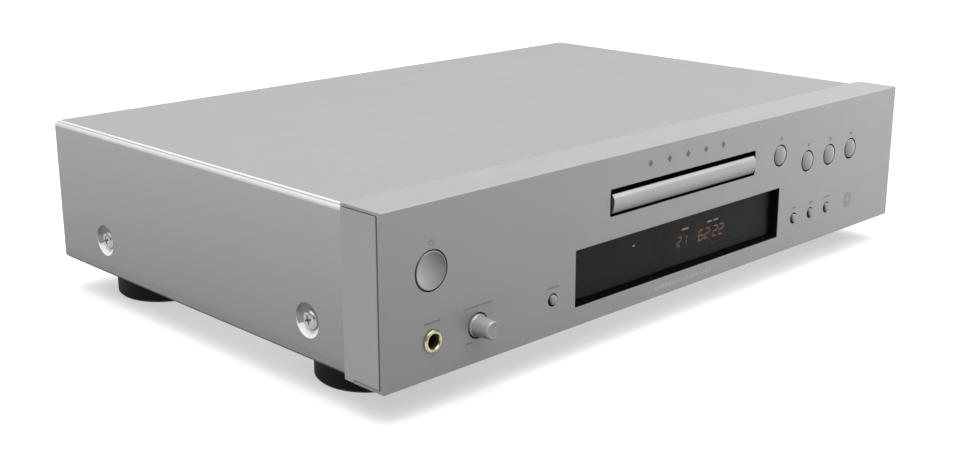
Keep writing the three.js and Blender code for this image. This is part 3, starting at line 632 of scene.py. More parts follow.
# ------------------------------------------------------------------ patterned materials
def board_material():
    """Solder mask over a maze of copper tracks, with bright solder dots."""
    mask = (0.015, 0.11, 0.05)
    sh = Shader("green_circuit_board")
    tracks = sh.texture("TexBrick", {"Scale": 330.0, "Mortar Size": 0.012, "Mortar Smooth": 0.2,
                                     "Brick Width": 0.9, "Row Height": 0.35},
                        offset=0.37, squash=0.6, squash_frequency=3).outputs["Fac"]
    colour = sh.blend(sh.remap(sh.noise(40, 3)), times(mask, 0.85), times(mask, 1.15))
    colour = sh.blend(tracks, colour, tuple(c * 2.0 + 0.01 for c in mask))
    cells = sh.texture("TexVoronoi", {"Scale": 260.0}, feature="F1").outputs["Distance"]
    dots = sh.remap(cells, to=(1, 0), over=(0.10, 0.14))
    sh.put(base_color=sh.blend(dots, colour, (0.7, 0.7, 0.68)),
           roughness=sh.remap(dots, to=(0.35, 0.25), over=(0, 1)),
           metallic=sh.remap(dots, to=(0.0, 0.9), over=(0, 1)),
           normal=sh.bump(tracks, depth=0.00003, after=sh.bump(dots, depth=0.00025)))
    return sh


def winding_material():
    """Enamelled wire wound in tight even turns."""
    sh = Shader("enamelled_windings")
    turns = sh.bands("Z", scale=260.0, distortion=0.6, detail=1.0)
    sh.put(base_color=sh.blend(turns, (0.16, 0.045, 0.012), (0.62, 0.24, 0.08)), metallic=0.8,
           roughness=sh.remap(sh.noise(300, 3), to=(0.25, 0.45)),
           normal=sh.bump(turns, depth=0.0004))
    return sh


def core_material():
    """Stacked steel laminations, seen edge on, with some rust."""
    sh = Shader("core_laminations")
    sheets = sh.bands("Y", scale=320.0, distortion=0.3)
    steel = sh.blend(sheets, (0.05, 0.045, 0.045), (0.20, 0.19, 0.19))
    rust = sh.remap(sh.noise(50, 4), to=(0, 0.5))
    sh.put(base_color=sh.blend(rust, steel, (0.10, 0.05, 0.025)), metallic=0.7,
           roughness=sh.remap(sh.noise(200, 3), to=(0.4, 0.6)),
           normal=sh.bump(sheets, depth=0.0002))
    return sh


def glassy(name, tint, body, rough, solid, colour_scale, rough_noise, ripple_scale,
           ripple_depth, specular=0.5):
    """Glossy surface of which a share is solid, and the rest lets tinted light through."""
    sh = Shader(name)
    clear = sh.new("BsdfTransparent")
    sh.feed(tint, clear.inputs["Color"])
    sh.surface.inputs["Specular IOR Level"].default_value = specular
    sh.put(base_color=sh.blend(sh.remap(sh.noise(colour_scale, 3)), *body),
           roughness=sh.remap(sh.noise(*rough_noise), to=rough),
           normal=sh.bump(sh.noise(ripple_scale, 2), depth=ripple_depth))
    sh.mix_surface(solid, clear.outputs[0], sh.surface.outputs[0])
    return sh


def clear_glass(name, tint, rough, clear):
    return glassy(name, tint, body=(times(tint, 0.35), times(tint, 0.5)),
                  rough=(rough, rough + 0.06), solid=1 - clear, colour_scale=80,
                  rough_noise=(120, 3), ripple_scale=200, ripple_depth=0.000003)


def smoked_acrylic():
    return glassy("smoked_acrylic", tint=(0.80, 0.80, 0.80), body=((0.004,) * 3, (0.006,) * 3),
                  rough=(0.24, 0.30), solid=0.6, colour_scale=20, rough_noise=(60, 4),
                  ripple_scale=90, ripple_depth=0.000004, specular=0.13)


def lamp(name, colour, strength):
    """Phosphor whose glow isn't perfectly even."""
    sh = Shader(name)
    sh.put(base_color=times(colour, 0.3), roughness=0.6,
           emission_color=sh.blend(sh.remap(sh.noise(900, 2)), times(colour, 0.8), colour),
           emission_strength=sh.remap(sh.noise(350, 2), to=(strength * 0.85, strength * 1.1)))
    return sh


# ------------------------------------------------------------------ the palette
PLAIN = {
    "paint": dict(name="silver_cap_paint", colour=(0.262, 0.262, 0.263), rough=0.46, metal=0.1,
                  drift=0.012, grain=3200, depth=0.002, tint=0.04, rough_drift=0.03,
                  specular=0.3),
    "zinc": dict(name="zinc_plated_steel", colour=(0.55, 0.56, 0.57), rough=0.36, metal=0.92,
                 drift=0.09, drift_scale=60, grain=500, stretch=(1, 0.05, 1), depth=0.004,
                 tint=0.06, rough_drift=0.09),
    "screw": dict(name="bright_screw", colour=(0.46, 0.46, 0.465), rough=0.24, metal=0.9,
                  drift=0.04, drift_scale=300, grain=3000, depth=0.002, rough_drift=0.06),
    "black_steel": dict(name="black_powder_coat", colour=(0.022, 0.022, 0.024), rough=0.5,
                        metal=0.1, drift=0.12, grain=1500, depth=0.03, tint=0.1),
    "black": dict(name="black_moulding", colour=(0.018, 0.018, 0.019), rough=0.48, drift=0.1,
                  grain=1700, depth=0.018, tint=0.08, rough_drift=0.07),
    "deep": dict(name="recess_black", colour=(0.002, 0.002, 0.002), rough=0.7, drift=0.1,
                 grain=1700, depth=0.018, specular=0.05),
    "tray": dict(name="tray_black", colour=(0.02, 0.02, 0.021), rough=0.42, drift=0.08,
                 grain=2100, depth=0.012, tint=0.06, rough_drift=0.06),
    "rubber": dict(name="foot_rubber", colour=(0.0042, 0.0042, 0.0043), rough=0.7,
                   specular=0.18, drift=0.15, grain=1300, depth=0.03, tint=0.12,
                   rough_drift=0.08),
    "belt": dict(name="belt_rubber", colour=(0.012, 0.012, 0.012), rough=0.75, drift=0.2,
                 grain=2500, depth=0.02, rough_drift=0.08),
    "gold": dict(name="gilt_plating", colour=(0.50, 0.43, 0.27), rough=0.26, metal=0.85,
                 drift_scale=200, grain=2600, depth=0.002, rough_drift=0.06),
    "acetal": dict(name="white_acetal", colour=(0.78, 0.77, 0.72), rough=0.4, drift=0.04,
                   grain=2200, depth=0.01, tint=0.02, rough_drift=0.06),
    "grey": dict(name="grey_moulding", colour=(0.09, 0.092, 0.095), rough=0.5, drift=0.08,
                 tint=0.06),
    "fin": dict(name="black_anodised_fin", colour=(0.025, 0.025, 0.028), rough=0.42, metal=0.5,
                drift=0.1, grain=700, stretch=(1, 1, 0.04), depth=0.01, tint=0.1),
    "sleeve": dict(name="capacitor_sleeve", colour=(0.03, 0.035, 0.07), rough=0.3, drift=0.1,
                   grain=900, depth=0.006, coat=0.3),
    "card": dict(name="mica_card", colour=(0.56, 0.52, 0.42), rough=0.55, drift=0.1,
                 grain=1500, tint=0.08),
    "cable": dict(name="flat_cable_film", colour=(0.72, 0.73, 0.74), rough=0.35, grain=1600,
                  stretch=(0.02, 1, 1), depth=0.05, tint=0.08),
    "red": dict(name="red_insulator", colour=(0.45, 0.02, 0.02), rough=0.4, drift=0.08,
                grain=2000, depth=0.01),
    "white": dict(name="white_insulator", colour=(0.75, 0.75, 0.73), rough=0.4, drift=0.04,
                  grain=2000, depth=0.01),
    "orange": dict(name="orange_insulator", colour=(0.7, 0.2, 0.03), rough=0.4, drift=0.06,
                   grain=2000, depth=0.01),
}
# key, material name, colour, roughness, metal, colour drift
PRINTS = [
    ("ink", "printed_grey", (0.085, 0.086, 0.087), 0.5, 0.1, 0.1),
    ("gold_ink", "printed_gold", (0.285, 0.275, 0.226), 0.45, 0.2, 0.1),
    ("label_ink", "printed_label", (0.115, 0.115, 0.116), 0.5, 0.1, 0.1),
    ("pale_ink", "printed_pale", (0.192, 0.192, 0.193), 0.5, 0.1, 0.05),
    ("white_ink", "printed_white", (0.7, 0.7, 0.7), 0.5, 0.0, 0.04),
]
SHADERS = {
    "panel": panel_material(), "button": button_material(), "nub": nub_material(),
    "knob": knob_material(), "lid": lid_material(), "cover": cover_material(),
    "side_screw": side_screw_material(),
}
for key, look in PLAIN.items():
    SHADERS[key] = finish(**look)
for key, name, colour, rough, metal, drift in PRINTS:
    SHADERS[key] = finish(name, colour, rough, metal, drift, grain=5000, depth=0.002)
SHADERS.update({
    "board": board_material(), "winding": winding_material(), "core": core_material(),
    "window": smoked_acrylic(),
    "tube": clear_glass("display_glass", tint=(0.10, 0.11, 0.12), rough=0.06, clear=0.35),
    "lens": clear_glass("lens_glass", tint=(0.55, 0.62, 0.75), rough=0.02, clear=0.5),
    "amber": lamp("amber_segments", colour=(1.0, 0.52, 0.25), strength=2.9),
    "amber_dim": lamp("amber_marks", colour=(1.0, 0.56, 0.30), strength=3.6),
    "pale_dot": lamp("pale_mark", colour=(1.0, 0.86, 0.74), strength=3.4),
})
M = {key: sh.mat for key, sh in SHADERS.items()}

# ------------------------------------------------------------------ front panel
CUT_FROM, CUT_TO = -2, 5  # depth range of the cutters through the panel's face


def rim_curve(e):
    """Quarter round of radius e as (depth, widening) steps from the face inwards."""
    return [(e - e * math.cos(TAU * i / 24), e - e * math.sin(TAU * i / 24)) for i in range(7)]


def hole(x, z, r, e=0.3, seg=72):
    """Cutter for a round hole whose front rim is rolled over by e."""
    rim = [(r + e - e * math.sin(TAU * i / 24), e - e * math.cos(TAU * i / 24))
           for i in range(7)]
    profile = [(0, CUT_FROM), (r + e, CUT_FROM)] + rim + [(r, CUT_TO), (0, CUT_TO)]
    return lathe(profile, "Y", (x, 0, z), seg)


def opening(x0, x1, z0, z1, r, e=0.35):
    """Cutter for a rounded rectangular opening with a rolled front rim."""
    rings = [(CUT_FROM, e)] + rim_curve(e) + [(CUT_TO, 0.0)]
    verts = []
    for y, g in rings:
        outline = rect(x0 - g, x1 + g, z0 - g, z1 + g, r + g, 6)
        verts += [(a, y, b) for a, b in outline]
    m, n = len(rings), len(outline)
    faces = [tuple(range(n)), tuple(range(m * n - 1, (m - 1) * n - 1, -1))]
    for k in range(m - 1):
        for i in range(n):
            j = (i + 1) % n
            faces.append((k * n + i, k * n + j, (k + 1) * n + j, (k + 1) * n + i))
    return mesh(verts, faces)


# a thin face with lips turned back at the top and the bottom: y, z, corner radius
PANEL_SECTION = [(0, 0, 0.55), (21, 0, 0.3), (21, 1.3, 0.3), (2.55, 1.3, 0.9),
                 (2.55, 83.3, 0.9), (27.5, 83.3, 0.3), (27.5, PANEL_H, 0.3), (0, PANEL_H, 0.55)]
panel = prism(rounded(PANEL_SECTION, closed=True), "X", -PANEL_HALF, PANEL_HALF)
cutters = [opening(*TRAY_SLOT, r=0.9), opening(*WINDOW, r=0.7), hole(*POWER, 10.0),
           hole(*EJECT, 6.55), hole(*KNOB, 6.45), hole(*JACK, 5.0),
           hole(*DISPLAY, 3.4, 0.22, 48)]
cutters += [hole(*spot, 6.55) for spot in TRIO] + [hole(*spot, 3.4, 0.22, 48) for spot in SMALL]
part(cut(panel, group(*cutters)), "front_panel", "panel", "front_panel_extrusion",
     bevel=0.22, seg=3, angle=50, slide=False)

# end caps: x is measured outwards
for side, s in (("left", -1), ("right", 1)):
    blocks = [box(*sorted((s * x0, s * x1)), *yz) for x0, x1, *yz in (
        (214.4, PANEL_HALF - 0.1, 3.68, 28.0, 1.6, 83.0),
        (214.4, PANEL_HALF - 0.1, 21.6, 28.0, 0.1, 2),
        (212.9, 215, 7, 25, 6, 79))]
    part(join(*blocks), f"end_cap_{side}", "paint", bevel=0.35, seg=3, miter="SHARP")


# ------------------------------------------------------------------ top cover
def arc(cx, cz, r, a0, a1, n):
    angles = [a0 + (a1 - a0) * i / n for i in range(n + 1)]
    return [(cx + r * math.cos(a), cz + r * math.sin(a)) for a in angles]


def cover_outline():
    """The folded sheet seen from the front: its outside, then back along its inside."""
    w, top, bottom, t, q = COVER_HALF, COVER_TOP, COVER_BOTTOM, COVER_T, QUARTER
    upper_r, lower_r, lip = 3.5, 1.5, 8
    x_up, z_up, x_low, z_low = w - upper_r, top - upper_r, w - lower_r, bottom + lower_r
    return ([(w - lip, bottom)] + arc(x_low, z_low, lower_r, -q, 0, 6)
            + arc(x_up, z_up, upper_r, 0, q, 24) + arc(-x_up, z_up, upper_r, q, 2 * q, 24)
            + arc(-x_low, z_low, lower_r, 2 * q, 3 * q, 6)
            + [(-w + lip, bottom), (-w + lip, bottom + t)]
            + arc(-x_low, z_low, 0.3, 3 * q, 2 * q, 3)
            + arc(-x_up, z_up, upper_r - t, 2 * q, q, 8) + arc(x_up, z_up, upper_r - t, q, 0, 8)
            + arc(x_low, z_low, 0.3, 0, -q, 3) + [(w - lip, bottom + t)])


cover = prism(cover_outline(), "Y", COVER_FRONT, COVER_REAR)
backs, bowls, bores = [], [], []
for s in (-1, 1):
    for y in DISH_Y:
        at = (s * COVER_HALF, y, DISH_Z)
        back = [(0, -s * 3.8), (7.0, -s * 3.8), (9.4, -s * 0.6), (0, -s * 0.6)]
        backs.append(lathe(back, "X", at, 72))
        bowl = [(0, -s * 2.8), (5.8, -s * 2.8, 1.4), (8.25, -s * 0.45, 1.0),
                (8.75, s * 0.02, 0.3), (9.2, s * 0.5), (0, s * 0.5)]
        bowls.append(lathe(rounded(bowl, n=6), "X", at, 96))
        bore = [(0, -s * 6), (2.3, -s * 6), (2.3, -s * 2.0), (0, -s * 2.0)]
        bores.append(lathe(bore, "X", at, 32))
cover = cut(join(cover, group(*backs)), group(*bowls), group(*bores))
rear_corner = [(COVER_REAR - 3.6, COVER_BOTTOM - 1), (COVER_REAR + 1, COVER_BOTTOM - 1),
               (COVER_REAR + 1, COVER_BOTTOM + 2.2)]
cover = cut(cover, group(*[prism(rear_corner, "X", *xs) for xs in ((-219, -206), (206, 219))]))
part(cover, "top_cover", "cover", "top_cover_shell", bevel=0.16, angle=40, split=True,
     slide=False)


# ------------------------------------------------------------------ screws
def cross_screw(x, y, z, s):
    """Domed cross-recess screw facing sideways, with a flange and a threaded shank."""
    profile = [(0, -9), (1.2, -9, 0.2), (1.9, -8.2, 0.2), (1.9, 0.12), (4.7, 0.12, 0.1),
               (4.7, 1.15, 0.35), (4.0, 2.0, 0.8), (2.2, 2.46, 0.8), (0, 2.5)]
    head = lathe(rounded(profile, n=4), "X")
    arms = []
    for k in (0, 1):
        side = [(-2.75, 2.7), (-1.1, 0.5), (1.1, 0.5), (2.75, 2.7)]
        verts = [(b, sign * (0.62 if b > 2 else 0.42), a) for sign in (-1, 1) for a, b in side]
        arm = mesh(verts, [(0, 1, 2, 3), (7, 6, 5, 4), (0, 3, 7, 4), (0, 4, 5, 1),
                           (1, 5, 6, 2), (2, 6, 7, 3)])
        arms.append(moved(arm, (0, 0, 0), Matrix.Rotation(k * math.pi / 2 + 0.35, 4, "X")))
    head = cut(head, join(*arms))
    pitch = 0.8
    ridges = [lathe([(1.7, -8.2 + pitch * i), (2.12, -7.85 + pitch * i),
                     (1.7, -7.5 + pitch * i)], "X", seg=32) for i in range(9)]
    head = join(head, group(*ridges))
    if s < 0:
        moved(head, (0, 0, 0), Matrix.Rotation(math.pi, 4, "Z"))
    return moved(head, (x, y, z))


for side, s in (("left", -1), ("right", 1)):
    for end, y in zip(("front", "rear"), DISH_Y):
        part(cross_screw(s * (COVER_HALF - 2.8), y, DISH_Z, s), f"cover_screw_{side}_{end}",
             "side_screw", f"side_screw_{side}_{end}", bevel=0.09, angle=38)

DOWNWARD = Matrix.Rotation(math.pi, 4, "X")
REARWARD = Matrix.Rotation(-math.pi / 2, 4, "X")


def small_screw(x, y, z, facing, r=2.7, h=1.1, turn=0.4):
    """Pan-head screw with head radius r and height h, its cross turned by turn."""
    profile = [(0, -2.0), (1.1, -2.0), (1.1, 0), (r, 0, 0.1), (r, h * 0.55, 0.35),
               (r * 0.6, h, 0.5), (0, h)]
    screw = lathe(rounded(profile, n=4), "Z", seg=40)
    reach, half, z0, z1 = r * 0.55, 0.34, h * 0.35, h + 1
    cross = join(box(-reach, reach, -half, half, z0, z1), box(-half, half, -reach, reach, z0, z1))
    return moved(cut(screw, cross), (x, y, z), facing @ Matrix.Rotation(turn, 4, "Z"))


# ------------------------------------------------------------------ chassis
CHASSIS_HALF, FLOOR_Z, SHEET, CHASSIS_REAR = 212.6, 3.5, 1.2, 284.8
POSTS = [(92, 118), (198, 118), (92, 250), (198, 250)]
RIB_X = (-95, 0, 95)
chassis = join(
    box(-CHASSIS_HALF, CHASSIS_HALF, 28.2, CHASSIS_REAR, FLOOR_Z, FLOOR_Z + SHEET),
    box(-CHASSIS_HALF, -CHASSIS_HALF + SHEET, 28.2, CHASSIS_REAR, FLOOR_Z, 34),
    box(CHASSIS_HALF - SHEET, CHASSIS_HALF, 28.2, CHASSIS_REAR, FLOOR_Z, 34),
    box(-CHASSIS_HALF, CHASSIS_HALF, 28.2, 29.4, FLOOR_Z, 24),
    group(*[rod_z(x, y, 3, FLOOR_Z + 0.5, 9.7, 32) for x, y in POSTS]))
chassis = join(chassis, group(*[
    slab("Z", x - 3, x + 3, 78, 226, FLOOR_Z - 0.9, FLOOR_Z + 0.5, r=3, n=6) for x in RIB_X]))
vents = [slab("Z", x - 22 + 11 * i, x - 18 + 11 * i, 108, 146, FLOOR_Z - 2, FLOOR_Z + 2, r=1.9)
         for x in (-150, 135) for i in range(5)]
vents += [rod_x(y, DISH_Z, 2.3, s * CHASSIS_HALF - 4, s * CHASSIS_HALF + 4, 32)
          for s in (-1, 1) for y in DISH_Y]
grooves = [slab("Z", x - 1.6, x + 1.6, 84, 220, FLOOR_Z - 0.2, FLOOR_Z + 2, r=1.6, n=6)
           for x in RIB_X]
part(cut(chassis, group(*vents), group(*grooves)), "bottom_chassis", "zinc", bevel=0.15,
     angle=40)
floor_screws = [(x, y) for x in (-60, 62) for y in (36, 191)] + [(-150, 172), (-150, 220)]
floor_screws += POSTS + [(-200, 150), (200, 150)]
for i, (x, y) in enumerate(floor_screws):
    extra(small_screw(x, y, FLOOR_Z - 0.02, DOWNWARD, turn=0.3 * i), f"floor_screw_{i + 1}",
          "screw", slot="steel", bevel=0.06)

# ------------------------------------------------------------------ rear panel
# socket centres on the rear panel: x, z
LEFT_OUT, RIGHT_OUT, COAX = (150, 44), (150, 26), (112, 26)
OPTICAL, REMOTE, MAINS = (88, 26), (184, 24), (-180, 34)


def around(centre, half_x, half_z, y0, y1, r):
    """Rounded block centred on a rear socket."""
    x, z = centre
    return slab("Y", x - half_x, x + half_x, z - half_z, z + half_z, y0, y1, r)


rear = join(box(-212.2, 212.2, 285.2, 286.4, 5.2, 81.6), box(-205, 205, 279, 285.6, 80.2, 81.4))
cutters = [rod_y(*spot, 4.6, 280, 290) for spot in (LEFT_OUT, RIGHT_OUT, COAX)]
cutters += [rod_y(*REMOTE, 3.4, 280, 290, 40), around(OPTICAL, 5.3, 5.3, 284, 290, 0.8),
            around(MAINS, 14, 10.4, 284, 290, 1.2)]
cutters += [slab("Y", -118 + 11 * i, -114 + 11 * i, 56, 74, 284, 290, r=1.9) for i in range(9)]
rear = join(cut(rear, group(*cutters)), group(slab("Y", -60, 60, 14, 40, 286.0, 286.8, r=3)))
part(rear, "rear_panel", "black_steel", bevel=0, angle=40)
rear_screws = [(-206, 76), (-103, 78), (0, 78), (103, 78), (206, 76), (-206, 12),
               (-70, 10), (70, 10), (206, 12), (131, 35), (169, 52), (100, 38)]
for i, (x, z) in enumerate(rear_screws):
    extra(small_screw(x, 286.42, z, REARWARD, r=2.6, turn=0.5 * i), f"rear_screw_{i + 1}",
          "black_steel", slot="black_steel", bevel=0.06)

# ------------------------------------------------------------------ front frame and window
# black frame behind the front panel, which also makes the walls of the display recess
GAP = 0.12
front_frame = join(
    box(-211.8, 211.8, 3.9, 6.4, 2.4, 82.4), box(-211.8, 211.8, 5, 24, 80.9, 82.4),
    box(-211.8, 211.8, 5, 24, 2.4, 3.9), box(-211.8, -209.8, 5, 24, 2.4, 82.4),
    box(209.8, 211.8, 5, 24, 2.4, 82.4),
    slab("Y", WINDOW[0] + GAP, WINDOW[1] - GAP, WINDOW[2] + GAP, WINDOW[3] - GAP, 1.9, 5, r=0.6))
cutters = [slab("Y", -63.3, 63.3, 53.4, 67.2, 0, 30, r=0.7),
           slab("Y", -89.2, 90.2, 11.0, 39.8, -2, 7, r=0.5), rod_y(*POWER, 12.2, 0, 30)]
cutters += [rod_y(*spot, 8.2, 0, 30) for spot in [EJECT] + TRIO]
cutters += [rod_y(*spot, 4.9, 0, 30, 40) for spot in SMALL + [DISPLAY]]
cutters += [rod_y(*KNOB, 7.2, 0, 30), rod_y(*JACK, 6.4, 0, 30)]
part(cut(front_frame, group(*cutters)), "front_frame", "deep", bevel=0.12, angle=40, split=True)
part(join(slab("Y", -91.5, 91.5, 8.6, 42.1, 6.7, 8.7, r=1.2),
          slab("Y", -88.9, 90.05, 11.3, 39.6, 4.4, 7, r=0.5)),
     "display_window", "window", bevel=0.15)

# ------------------------------------------------------------------ display
LIT = (9.9, 9.97)  # y range of the lit shapes, just ahead of the tube
SEGMENTS = {"0": "abcdef", "1": "bc", "2": "abged", "3": "abgcd", "4": "fgbc",
            "5": "afgcd", "6": "afgecd", "7": "abc", "8": "abcdefg", "9": "abfgcd"}


def digits(text, x, z, width, height, gap, slant=0.12, t=0.46):
    """Seven-segment figures: each segment is its own closed hexagonal bar."""
    half, inset, out = height / 2, 0.14, []
    bars = {"a": ((0, height), (width, height)), "g": ((0, half), (width, half)),
            "d": ((0, 0), (width, 0)), "f": ((0, half), (0, height)),
            "b": ((width, half), (width, height)), "e": ((0, 0), (0, half)),
            "c": ((width, 0), (width, half))}
    for figure in text:
        if figure == ":":
            for share in (0.3, 0.7):
                cx, cz = x + slant * height * share, z + height * share
                out.append(slab("Y", cx - t / 2, cx + t / 2, cz - t / 2, cz + t / 2, *LIT))
            x += t + gap
            continue
        for segment in SEGMENTS[figure]:
            start, end = (Vector(p) for p in bars[segment])
            d = (end - start).normalized()
            side = Vector((-d.y, d.x)) * t / 2
            a, b = start + d * inset, end - d * inset
            bar = [a, a + d * t / 2 - side, b - d * t / 2 - side, b, b - d * t / 2 + side,
                   a + d * t / 2 + side]
            out.append(prism([(x + p.x + slant * p.y, z + p.y) for p in bar], "Y", *LIT))
        x += width + gap
    return group(*out)


def light_up(me, name, material):
    extra(me, name, material, slot="glass", bevel=0, clean=False)


light_up(digits("21", 6.1104, 20.1371, width=3.3, height=5.1, gap=1.9), "lit_track_figures",
         "amber")
light_up(digits("62:22", 25.7833, 19.4309, width=3.9, height=5.9, gap=1.75),
         "lit_time_figures", "amber")
x, z = -31.8229, 28.8134
light_up(slab("Y", x - 1.05, x + 1.05, z - 0.36, z + 0.36, *LIT, r=0.2), "lit_pale_mark",
         "pale_dot")
marks = []
for x, z, places in ((10.4485, 29.1160, (0, 1, 2, 3)), (33.7533, 29.0151, (0, 1, 2, 4, 5, 6))):
    marks += [slab("Y", x + 1.5 * i, x + 1.5 * i + 1.1, z - 0.55, z + 0.55, *LIT, r=0.15)
              for i in places]
light_up(group(*marks), "lit_indicator_marks", "amber_dim")
tube = join(slab("Y", -46, 66, 13.5, 37, 10, 15, r=1.0), rod_y(-50, 34, 1.6, 10.6, 14.4, 32),
            slab("Y", -50, -45, 33, 35, 11.2, 13.8, r=0.3))
part(tube, "display_tube", "tube", bevel=0.3, seg=3, miter="SHARP")


# ------------------------------------------------------------------ buttons
def cap(node, r, front, flange, stem, seg, material="button"):
    """Turned cap: its front profile, a flange behind the panel and a stem short by stem."""
    x, z = face_spot(node)
    profile = front + [(r, 3.7), (flange, 4.3), (flange, 5.6), (2.6, 5.6), (2.2, 18 - stem),
                       (0, 18 - stem)]
    part(lathe(profile, "Y", (x, 0, z), seg), node, material, f"{node}_cap", body=BODY[node],
         bevel=0, angle=30)


# the power button's face is a shallow dish inside a narrow raised rim
power_front = [(0, 1.42)]
power_front += [(8.55 * i / 16, 1.42 - 1.32 * (i / 16) ** 2) for i in range(1, 17)]
power_front += rounded([(8.55, 0.10), (8.75, 0.0, 0.1), (9.1, 0.0, 0.12), (9.3, 0.2, 0.12),
                        (9.3, 1.0)], n=4)[1:]
cap("power_button", 9.3, power_front, flange=11.6, stem=2.1, seg=96)

# a gently domed face inside a fine rounded edge
DOME_R = 5.8
dome = [(0, -0.62)]
dome += [((DOME_R - 0.3) * i / 12, -0.62 + 0.58 * (i / 12) ** 2.4) for i in range(1, 13)]
dome += rounded([(DOME_R - 0.3, -0.04), (DOME_R, 0.3, 0.25), (DOME_R, 1.0)])[1:]
for node in ["eject_button"] + TRIO_NODES:
    cap(node, DOME_R, dome, flange=7.6, stem=1.6, seg=80)

nub = rounded([(0, -1.0), (1.4, -0.96, 0.6), (2.3, -0.72, 0.4), (2.62, -0.45, 0.12),
               (2.75, 1.0)])
for node in SMALL_NODES + ["display_button"]:
    cap(node, 2.75, nub, flange=4.4, stem=1.4, seg=56, material="nub")

# ------------------------------------------------------------------ knob and headphone jack
KX, KZ = KNOB
profile = [(0, -10.4), (3.3, -10.42, 0.4), (3.9, -10.5, 0.2), (4.5, -9.9, 0.25),
           (5.15, -0.95, 0.3), (5.35, -0.55, 0.1), (5.75, -0.35, 0.2), (5.75, 1.6, 0.15),
           (3, 1.6), (3, 15.5, 0.2), (0, 15.5)]
notch = slab("Y", KX - 6.0, KX - 5.3, KZ - 0.35, KZ + 0.35, -0.7, 0.5, r=0.1)
dimple = lathe([(0, -11.5), (0.75, -11.5), (0.72, -10.3), (0.45, -10.05), (0, -9.95)], "Y",
               (KX + 0.7, 0, KZ + 2.0), 40)
knob = cut(lathe(rounded(profile), "Y", (KX, 0, KZ), 128), group(notch, dimple))
part(knob, "volume_knob", "knob", body="knob", bevel=0.05, angle=35)
pot = join(slab("Y", KX - 8.2, KX + 8.2, KZ - 8.2, KZ + 8.2, 9.5, 16.8, r=1.0),
           rod_y(KX, KZ, 4.4, 7, 10))
part(cut(pot, rod_y(KX, KZ, 3.2, 0, 16.0)), "volume_potentiometer", "grey")

JX, JZ = JACK
jack = join(slab("Y", JX - 7.6, JX + 7.6, JZ - 8.5, JZ + 8.5, 7, 17.3, r=0.6),
            rod_y(JX, JZ, 4.2, 0.4, 7.2))
part(cut(jack, rod_y(JX, JZ, 3.25, 0, 15)), "headphone_jack", "black", bevel=0.12)
profile = [(3.6, -0.8, 0.3), (3.95, -1.5, 0.35), (4.75, -1.5, 0.45), (5.4, -0.9, 0.3),
           (5.45, -0.12, 0.1), (4.75, -0.12), (4.75, 3, 0.1), (4.35, 3, 0.1), (4.35, 0.1),
           (3.6, 0.1, 0.1)]
part(lathe(rounded(profile, closed=True), "Y", (JX, 0, JZ), 96), "headphone_jack_collar", "gold",
     "headphone_jack_ring", bevel=0, angle=50)

# ------------------------------------------------------------------ printed symbols, all generic
INK_T = 0.03


def mark(name, material, *outlines):
    shape = group(*[prism(outline, "Y", -INK_T, 0.0) for outline in outlines])
    extra(shape, name, material, slot="aluminium", bevel=0, clean=False)


def ring_arc(cx, cz, r, a0, a1, width, n=28):
    """Outline of a curved line; its angles are in degrees."""
    points = arc(cx, cz, r, math.radians(a0), math.radians(a1), n)
    left, right = [], []
    for i, p in enumerate(points):
        p = Vector(p)
        before = Vector(points[i - 1]) if i else p
        after = Vector(points[i + 1]) if i < n else p
        d = (after - before).normalized()
        side = Vector((-d.y, d.x)) * width / 2
        left.append(tuple(p + side))
        right.append(tuple(p - side))
    return left + right[::-1]


def arrow(x, z, width, height):
    """Triangle pointing right from its left edge at x."""
    return [(x, z - height / 2), (x + width, z), (x, z + height / 2)]


def dashes(x0, x1, z0, z1, n, fill=0.74, rise=0.0):
    """A row of plain dashes for a label; rise makes them taller to the right."""
    step, out = (x1 - x0) / (n - 1 + fill), []
    for i in range(n):
        a, grow = x0 + step * i, rise * (i / (n - 1) - 0.5)
        out.append(rect(a, a + step * fill, z0 - grow / 2, z1 + grow / 2))
    return out


x, z = POWER[0], POWER[1] + 13.3
mark("symbol_standby", "ink", ring_arc(x, z, 1.35, 125, 415, 0.32),
     rect(x - 0.16, x + 0.16, z + 0.2, z + 1.9))
x, z = EJECT[0], EJECT[1] + 10.1
mark("symbol_open_close", "ink", [(x - 1.3, z - 0.1), (x + 1.3, z - 0.1), (x, z + 1.3)],
     rect(x - 1.3, x + 1.3, z - 0.9, z - 0.5))
z = TRIO[0][1] + 9.9
stop_x, pause_x, play_x = (spot[0] for spot in TRIO)
mark("symbol_stop", "ink", rect(stop_x - 0.85, stop_x + 0.85, z - 0.8, z + 0.8))
mark("symbol_pause", "ink", rect(pause_x - 0.85, pause_x - 0.2, z - 1.15, z + 1.15),
     rect(pause_x + 0.2, pause_x + 0.85, z - 1.15, z + 1.15))
mark("symbol_play", "ink", arrow(play_x - 1.35, z, 2.9, 2.2))
z = SMALL[0][1] + 6.6
previous_x, next_x, repeat_x = (spot[0] for spot in SMALL)
x = previous_x
mark("symbol_previous", "ink", rect(x - 2.1, x - 1.75, z - 0.8, z + 0.8),
     [(x - 0.1, z - 0.8), (x - 0.1, z + 0.8), (x - 1.6, z)],
     [(x + 1.6, z - 0.8), (x + 1.6, z + 0.8), (x + 0.1, z)])
x = next_x
mark("symbol_next", "ink", rect(x + 1.75, x + 2.1, z - 0.8, z + 0.8),
     arrow(x - 1.6, z, 1.5, 1.6), arrow(x + 0.1, z, 1.5, 1.6))
mark("symbol_repeat", "label_ink",
     *dashes(repeat_x - 3.7, repeat_x + 3.7, z - 0.15, z + 0.75, 6))
x, z = DISPLAY[0], DISPLAY[1] + 6.4
mark("symbol_display", "label_ink", *dashes(x - 4.1, x + 4.1, z - 0.45, z + 0.5, 7))
z = JZ + 8.9
mark("symbol_headphones", "label_ink", *dashes(JX - 4.9, JX + 4.9, z - 0.5, z + 0.5, 8))
z = KZ + 9.9
